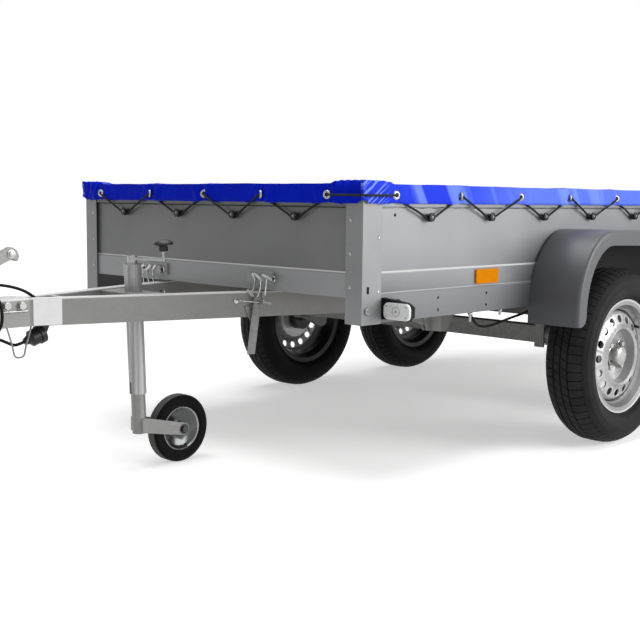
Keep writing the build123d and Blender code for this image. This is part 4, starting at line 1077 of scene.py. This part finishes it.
walls = {
    "front": Wall((0, skirt_front, 0), (1, 0, 0), (0, -1, 0), front_eyelets, front_hooks, end_sheet, 1),
    "rear": Wall((0, skirt_rear, 0), (1, 0, 0), (0, 1, 0), front_eyelets, front_hooks, end_sheet, 1),
    "left": Wall((skirt_face, 0, 0), (0, 1, 0), (1, 0, 0), side_eyelets, side_hooks, side_sheet, -1),
    "right": Wall((-skirt_face, 0, 0), (0, 1, 0), (-1, 0, 0), side_eyelets, side_hooks, side_sheet, 1),
}
bed_walls, gate_walls = [walls["front"], walls["left"], walls["right"]], [walls["rear"]]
corner_eyelets = (front_eyelets[0], front_eyelets[-1], side_eyelets[0], side_eyelets[-1])
print(sum(len(wall.eyelets) for wall in walls.values()), "eyelets")

# %% Shape of the sheet
sheet_thickness = 0.0006
fold_reach = 0.119
eyelet_drop = (top_z - eyelet_z) / (top_z - hem_z)


def smooth(value):
    """Smooth step from 0 to 1."""
    value = max(0.0, min(1.0, value))
    return value * value * (3 - 2 * value)


def ruffle(x, y, z, scale, seed):
    """Smooth noise from -1 to 1."""
    return noise.noise(Vector((x * scale + seed, y * scale, z * scale)))


def corner_distance(x, y):
    """Distance along the walls from the nearest corner of the tub."""
    return half_width - abs(x) + min(y - front_y, rear_y - y)


crease_height, crease_half = 0.0018, 0.012
pinch_height, pinch_reach, pinch_pitch = 0.0030, 0.16, 260


def crown(x, y):
    """Height of the sheet's top over a point between the walls."""
    inside = min(half_width - abs(x), y - front_y, rear_y - y)
    free = min(1.0, max(0.0, (inside - 0.03) / 0.12))
    sag = -0.007 * free * (0.7 + 0.3 * cos(x * 4.5))
    waves = 0.0035 * ruffle(x, y * 0.6, 0, 5.0, 3.1) + 0.0012 * ruffle(x, y, 0, 19.0, 7.7)
    creases = 0
    for fold in (-0.42, -0.105, 0.21, 0.525):
        creases += crease_height * max(0.0, 1 - abs(x - fold) / crease_half)
    for row in range(8):
        creases += crease_height * max(0.0, 1 - abs(y - front_y - 0.166 - 0.331 * row) / crease_half)
    pull = 0.0
    ends = [(x - place, y - end) for place in front_eyelets for end in (front_y, rear_y)]
    sides = [(y - place, x - wall) for place in side_eyelets for wall in (-half_width, half_width)]
    for near, away in ends + sides:
        pull += pinch_height * max(0.0, 1 - hypot(near * 2.2, away) / pinch_reach) * cos(near * pinch_pitch)
    reach = corner_distance(x, y)
    puff = smooth((1 - reach / fold_reach) / 0.30) * smooth(1 - abs(inside - 0.008) / 0.032)
    gathers = puff * (0.0085 + 0.0016 * cos(reach * 260))
    return sag + waves * (0.25 + 0.75 * free) + creases * free + pull * min(1.0, inside / 0.02) + gathers


def skirt_out_at(wall, along, reach, z, drop):
    """How far the hanging border stands off the tub at a place on one wall."""
    out = 0.0016 + 0.0026 * ruffle(along, reach, z * 0.4, 9, 1.7) * (0.3 + 0.7 * drop)
    out += 0.0010 * ruffle(along, reach, z, 34, 5.1)
    for place, side in walls[wall].tilts:
        near = along - place
        if abs(near) > 0.12:
            continue
        level = 1 - min(1.0, abs(z - eyelet_z) / 0.045) ** 2
        lean = 0.3 if place in corner_eyelets else 1.0
        out += side * lean * 0.50 * near * (1 / (1 + (near / 0.013) ** 4)) * level
        ridge = near + side * (0.026 + 0.030 * (1 - drop))
        out += 0.0042 * smooth(1 - abs(ridge) / 0.021) * (0.35 + 0.65 * drop)
        ripple = near - side * (0.020 + 0.022 * drop)
        out += 0.0022 * smooth(1 - abs(ripple) / 0.012) * (1 - 0.6 * drop)
    share = reach / fold_reach
    if share < 1:
        edge = eyelet_drop * (1 - (1 - share ** 4) ** 0.5)
        lap = smooth((drop - edge) / 0.07 + 0.6) * smooth((1 - share) / 0.05)
        out += lap * (0.0026 + 0.0018 * cos(reach * 230 + 5 * drop) * (1 - 0.7 * drop))
    return max(-0.0010, out)


def drape(bm):
    """Moves every vertex of the flat-sided sheet to where the cloth lies."""
    for vert in bm.verts:
        x, y, z = vert.co
        on_side = abs(x) > half_width + 0.001
        on_end = y < front_y - 0.001 or y > rear_y + 0.001
        if not on_side and not on_end:
            vert.co.z = top_z + crown(x, y)
            continue
        drop = (top_z - z) / (top_z - hem_z)
        inner_x, inner_y = max(-half_width, min(half_width, x)), max(front_y, min(rear_y, y))
        reach = corner_distance(inner_x, inner_y)
        if on_side:
            vert.co.x += (1 if x > 0 else -1) * skirt_out_at("left" if x > 0 else "right", y, reach, z, drop)
        if on_end:
            vert.co.y += (1 if y > 0 else -1) * skirt_out_at("rear" if y > 0 else "front", x, reach, z, drop)
        distance, eyelets = (y, side_eyelets) if on_side else (x, front_eyelets)
        near = min(abs(distance - place) for place in eyelets)
        vert.co.z += 0.0026 * ruffle(x, y, 0, 6.5, 9.3) * (1 - drop)
        vert.co.z += 0.0020 * drop * cos(near * 55) * (near < 0.057)
        vert.co.z += 0.0085 * drop * drop * max(0.0, 1 - reach / 0.016)
        if drop < 0.02:
            vert.co.z += crown(inner_x, inner_y)
    return bm


def cover_sheet():
    """The whole cover: a grid over the tub with its border folded down in rows of finer faces."""
    bm = bmesh.new()
    bmesh.ops.create_grid(bm, x_segments=100, y_segments=212, size=0.5)
    bmesh.ops.scale(bm, verts=bm.verts, vec=(2 * skirt_face, skirt_rear - skirt_front, 1))
    bmesh.ops.translate(bm, verts=bm.verts, vec=(0, (front_y + rear_y) / 2, top_z))
    border = [edge for edge in bm.edges if edge.is_boundary]
    bmesh.ops.subdivide_edges(bm, edges=border, cuts=2)
    rows = 6
    for _ in range(rows):
        border = [edge for edge in bm.edges if edge.is_boundary]
        grown = bmesh.ops.extrude_edge_only(bm, edges=border)["geom"]
        lower = [item for item in grown if isinstance(item, bmesh.types.BMVert)]
        bmesh.ops.translate(bm, verts=lower, vec=(0, 0, (hem_z - top_z) / rows))
    return bm


def keep_faces(bm, wanted):
    """Deletes the faces that aren't wanted."""
    spare = [face for face in bm.faces if not wanted(face)]
    bmesh.ops.delete(bm, geom=spare, context="FACES")
    return bm


def is_rear_skirt(face):
    """Whether a face hangs over the tailgate."""
    centre = face.calc_center_median()
    return centre.y > skirt_rear - 0.0005 and abs(face.normal.z) < 0.7


print("the sheet's middle hangs at", round(top_z + crown(0, (front_y + rear_y) / 2), 4))


# %% The cover and its rear skirt
def sheet_piece(name, bm):
    """A piece of thin cloth with its real thickness."""
    bmesh.ops.recalc_face_normals(bm, faces=bm.faces)
    piece = make_piece(name, bm, "bed", "tarp_pvc", tarp_pvc, radians(80), tidied=True)
    thickness = piece.modifiers.new("thickness", "SOLIDIFY")
    thickness.thickness = sheet_thickness
    thickness.offset = -1
    return piece


whole = cover_sheet()
whole.normal_update()
spare = whole.copy()
cover = sheet_piece("cover", drape(keep_faces(whole, lambda face: not is_rear_skirt(face))))
rear_skirt = sheet_piece("cover_rear_skirt", drape(keep_faces(spare, is_rear_skirt)))
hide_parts("tarp")
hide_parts("tarp_rear_flap")


def lift_with_tailgate(piece):
    """Gives a piece at the rear its own copy of its mesh."""
    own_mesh(piece)


lift_with_tailgate(rear_skirt)

# %% [markdown]
# ## Eyelets
# Nickel-plated eyelets are pressed into the doubled hem. Each is a turned ring, and a dark disc in its hole,
# where the cord goes through, is painted shade.

# %% Eyelets
eyelet_tilt, skin = radians(25), 0.0012
eyelet_ring = [
    (0.0052, 0.0004), (0.0055, 0.0020), (0.0072, 0.0031), (0.0098, 0.0028), (0.0118, 0.0014),
    (0.0121, -0.001),
]
for key, group in (("bed", bed_walls), ("rear", gate_walls)):
    rings, hole_shade_discs = bmesh.new(), bmesh.new()
    for wall in group:
        for place, side in wall.tilts:
            tilt, lift = (0.3 * eyelet_tilt, 0.0040) if place in corner_eyelets else (eyelet_tilt, 0.0012)
            direction = wall.out * cos(tilt) + wall.along * side * sin(tilt)
            seat = facing(wall.at(place, eyelet_z, skin + lift), direction)
            turned(rings, eyelet_ring, seat, 28)
            turned(hole_shade_discs, [(0.0056, 0.0009), (0, 0.0009)], seat, 20)
    pieces = (
        make_piece(f"eyelets_{key}", rings, "bed", "zinc_plate", sharp=radians(60)),
        make_piece(f"eyelet_hole_shades_{key}", hole_shade_discs, "bed", "black_rubber"),
    )
    if key == "rear":
        for piece in pieces:
            lift_with_tailgate(piece)
print("eyelets pressed in")

# %% [markdown]
# ## Hooks and lacing
# The cord runs once round the cover and goes down to a knob between each pair of eyelets. Every second
# stretch runs behind the skirt, so only its lower part shows under the hem. One function writes the places
# that a stretch bends around, and the whole run becomes one NURBS curve.

# %% Knobs
knob = [
    (0.0095, 0), (0.0095, 0.0025), (0.0058, 0.0045), (0.0055, 0.0125), (0.0118, 0.0138), (0.0125, 0.0160),
    (0.0118, 0.0192), (0.0098, 0.0200), (0.0072, 0.0196), (0.0066, 0.0180), (0, 0.0178),
]
knob_screw = [(0.0046, 0.0176), (0.0042, 0.0196), (0.002, 0.0203), (0, 0.0203)]
for node, body, group in (("tarp_hooks", "bed", bed_walls), ("tailgate_hooks", "tailgate", gate_walls)):
    knobs, screws = bmesh.new(), bmesh.new()
    for seat in [facing(wall.at(y, hook_z, wall.sheet_out), wall.out) for wall in group for y in wall.hooks]:
        turned(knobs, knob, seat, 28)
        turned(screws, knob_screw, seat, 16)
    make_piece(f"{node}_moulded", knobs, body, "black_plastic", instead=node)
    make_piece(f"{node}_screws", screws, body, "zinc_plate", dark_steel)
print(sum(len(wall.hooks) for wall in walls.values()), "knobs")

# %% Lacing cord
lace_radius = 0.0031
outside, inside = 0.0052, -0.0030


def stretch(wall, first, last, knob_at, over):
    """Route from one eyelet down round a knob to the next, over the skirt or behind it."""
    side = outside if over else inside
    bend = side + (0.001 if over else 0)
    neck = wall.sheet_out + knob_neck
    low = hook_z - 0.0098
    return [
        wall.at(first, eyelet_z, side),
        wall.at(first + 0.010, eyelet_z - 0.008, bend),
        wall.at(knob_at - 0.022, hook_z + 0.003, neck + 0.002),
        wall.at(knob_at - 0.009, low, neck),
        wall.at(knob_at + 0.009, low, neck),
        wall.at(knob_at + 0.022, hook_z + 0.003, neck + 0.002),
        wall.at(last - 0.010, eyelet_z - 0.008, bend),
        wall.at(last, eyelet_z, side),
    ]


def run(wall, over):
    """Route along a whole wall, changing sides at every eyelet."""
    route = []
    for pair, knob_at in zip(zip(wall.eyelets, wall.eyelets[1:]), wall.hooks):
        route += stretch(wall, *pair, knob_at, over)
        over = not over
    return route


near_corner = [
    (front_eyelets[-1] + 0.004, skirt_front - 0.0130, eyelet_z),
    (skirt_face - 0.035, skirt_front - 0.0140, eyelet_z - 0.001),
    (skirt_face + 0.0065, skirt_front - 0.0065, eyelet_z - 0.001),
    (skirt_face + 0.0140, skirt_front + 0.035, eyelet_z - 0.001),
    (skirt_face + 0.0130, side_eyelets[0] - 0.004, eyelet_z),
]
route = run(walls["left"], False)[::-1] + near_corner[::-1] + run(walls["front"], True)[::-1]
route += run(walls["right"], True)
strand("lacing", route, lace_radius, "bed", "black_rubber", cord_rubber, 4)
rear_route = run(walls["rear"], True)[::-1]
lift_with_tailgate(
    strand("lacing_rear", rear_route, lace_radius, "bed", "black_rubber", cord_rubber, 4, as_mesh=True)
)
print("lacing with", len(route), "bends")

# %% [markdown]
# ## Floor, backdrop and light
# The trailer stands on a pale studio floor. Big soft lamps keep the shadows soft, and the camera, gloss and
# glass see a white room round it.

# %% Studio
def seen(tree):
    """One for the rays that show a backdrop: from the camera, off gloss or through glass."""
    path = tree.nodes.new("ShaderNodeLightPath")
    socket = path.outputs["Is Camera Ray"]
    for other in ("Is Glossy Ray", "Is Transmission Ray"):
        either = tree.nodes.new("ShaderNodeMath")
        either.operation = "MAXIMUM"
        tree.links.new(socket, either.inputs[0])
        tree.links.new(path.outputs[other], either.inputs[1])
        socket = either.outputs[0]
    return socket


world = bpy.data.worlds.new("studio")
bpy.context.scene.world = world
world.use_nodes = True
sky = world.node_tree
strength = sky.nodes.new("ShaderNodeMapRange")
strength.inputs["To Min"].default_value = 0.22
strength.inputs["To Max"].default_value = 1.0
sky.links.new(seen(sky), strength.inputs["Value"])
backdrop = sky.nodes["Background"]
backdrop.inputs["Color"].default_value = (1, 1, 1, 1)
sky.links.new(strength.outputs[0], backdrop.inputs["Strength"])

floor_finish = Finish("studio_floor", Roughness=0.9, Base_Color=(0.80, 0.80, 0.80, 1), Emission_Strength=1.0)
floor_finish.set(Specular_IOR_Level=0.0)
spread = floor_finish.node("VectorMath", {"operation": "LENGTH"}, {0: floor_finish.place()}, output=1)
far = floor_finish.node("MapRange", {}, {"Value": spread, "From Min": 2.2, "From Max": 5.5})
floor_finish.set(Emission_Color=Tone(floor_finish, seen(floor_finish.tree)) * (0.50 + far * 0.45))
floor_bm = bmesh.new()
bmesh.ops.create_grid(floor_bm, x_segments=1, y_segments=1, size=30)
bmesh.ops.translate(floor_bm, verts=floor_bm.verts, vec=(0, 0, cad_box[0][2] - 0.0005))
floor_mesh = bpy.data.meshes.new("studio_floor")
floor_bm.to_mesh(floor_mesh)
floor_bm.free()
floor_mesh.materials.append(floor_finish.material)
add_object("studio_floor", floor_mesh)


def softbox(name, place, target, size, power):
    """A square area lamp that faces a target."""
    lamp = add_object(name, bpy.data.lights.new(name, "AREA"))
    lamp.data.size = size
    lamp.data.energy = power
    aim = (Vector(target) - Vector(place)).to_track_quat("-Z", "Y")
    lamp.matrix_world = Matrix.Translation(place) @ aim.to_matrix().to_4x4()


softbox("side_lamp", (5.2, 2.6, 2.3), (0.6, 0.2, 0.5), 3.5, 290)
softbox("top_lamp", (0.1, -0.8, 4.6), (0, -0.4, 0.5), 3.6, 190)
print("studio with two lamps")
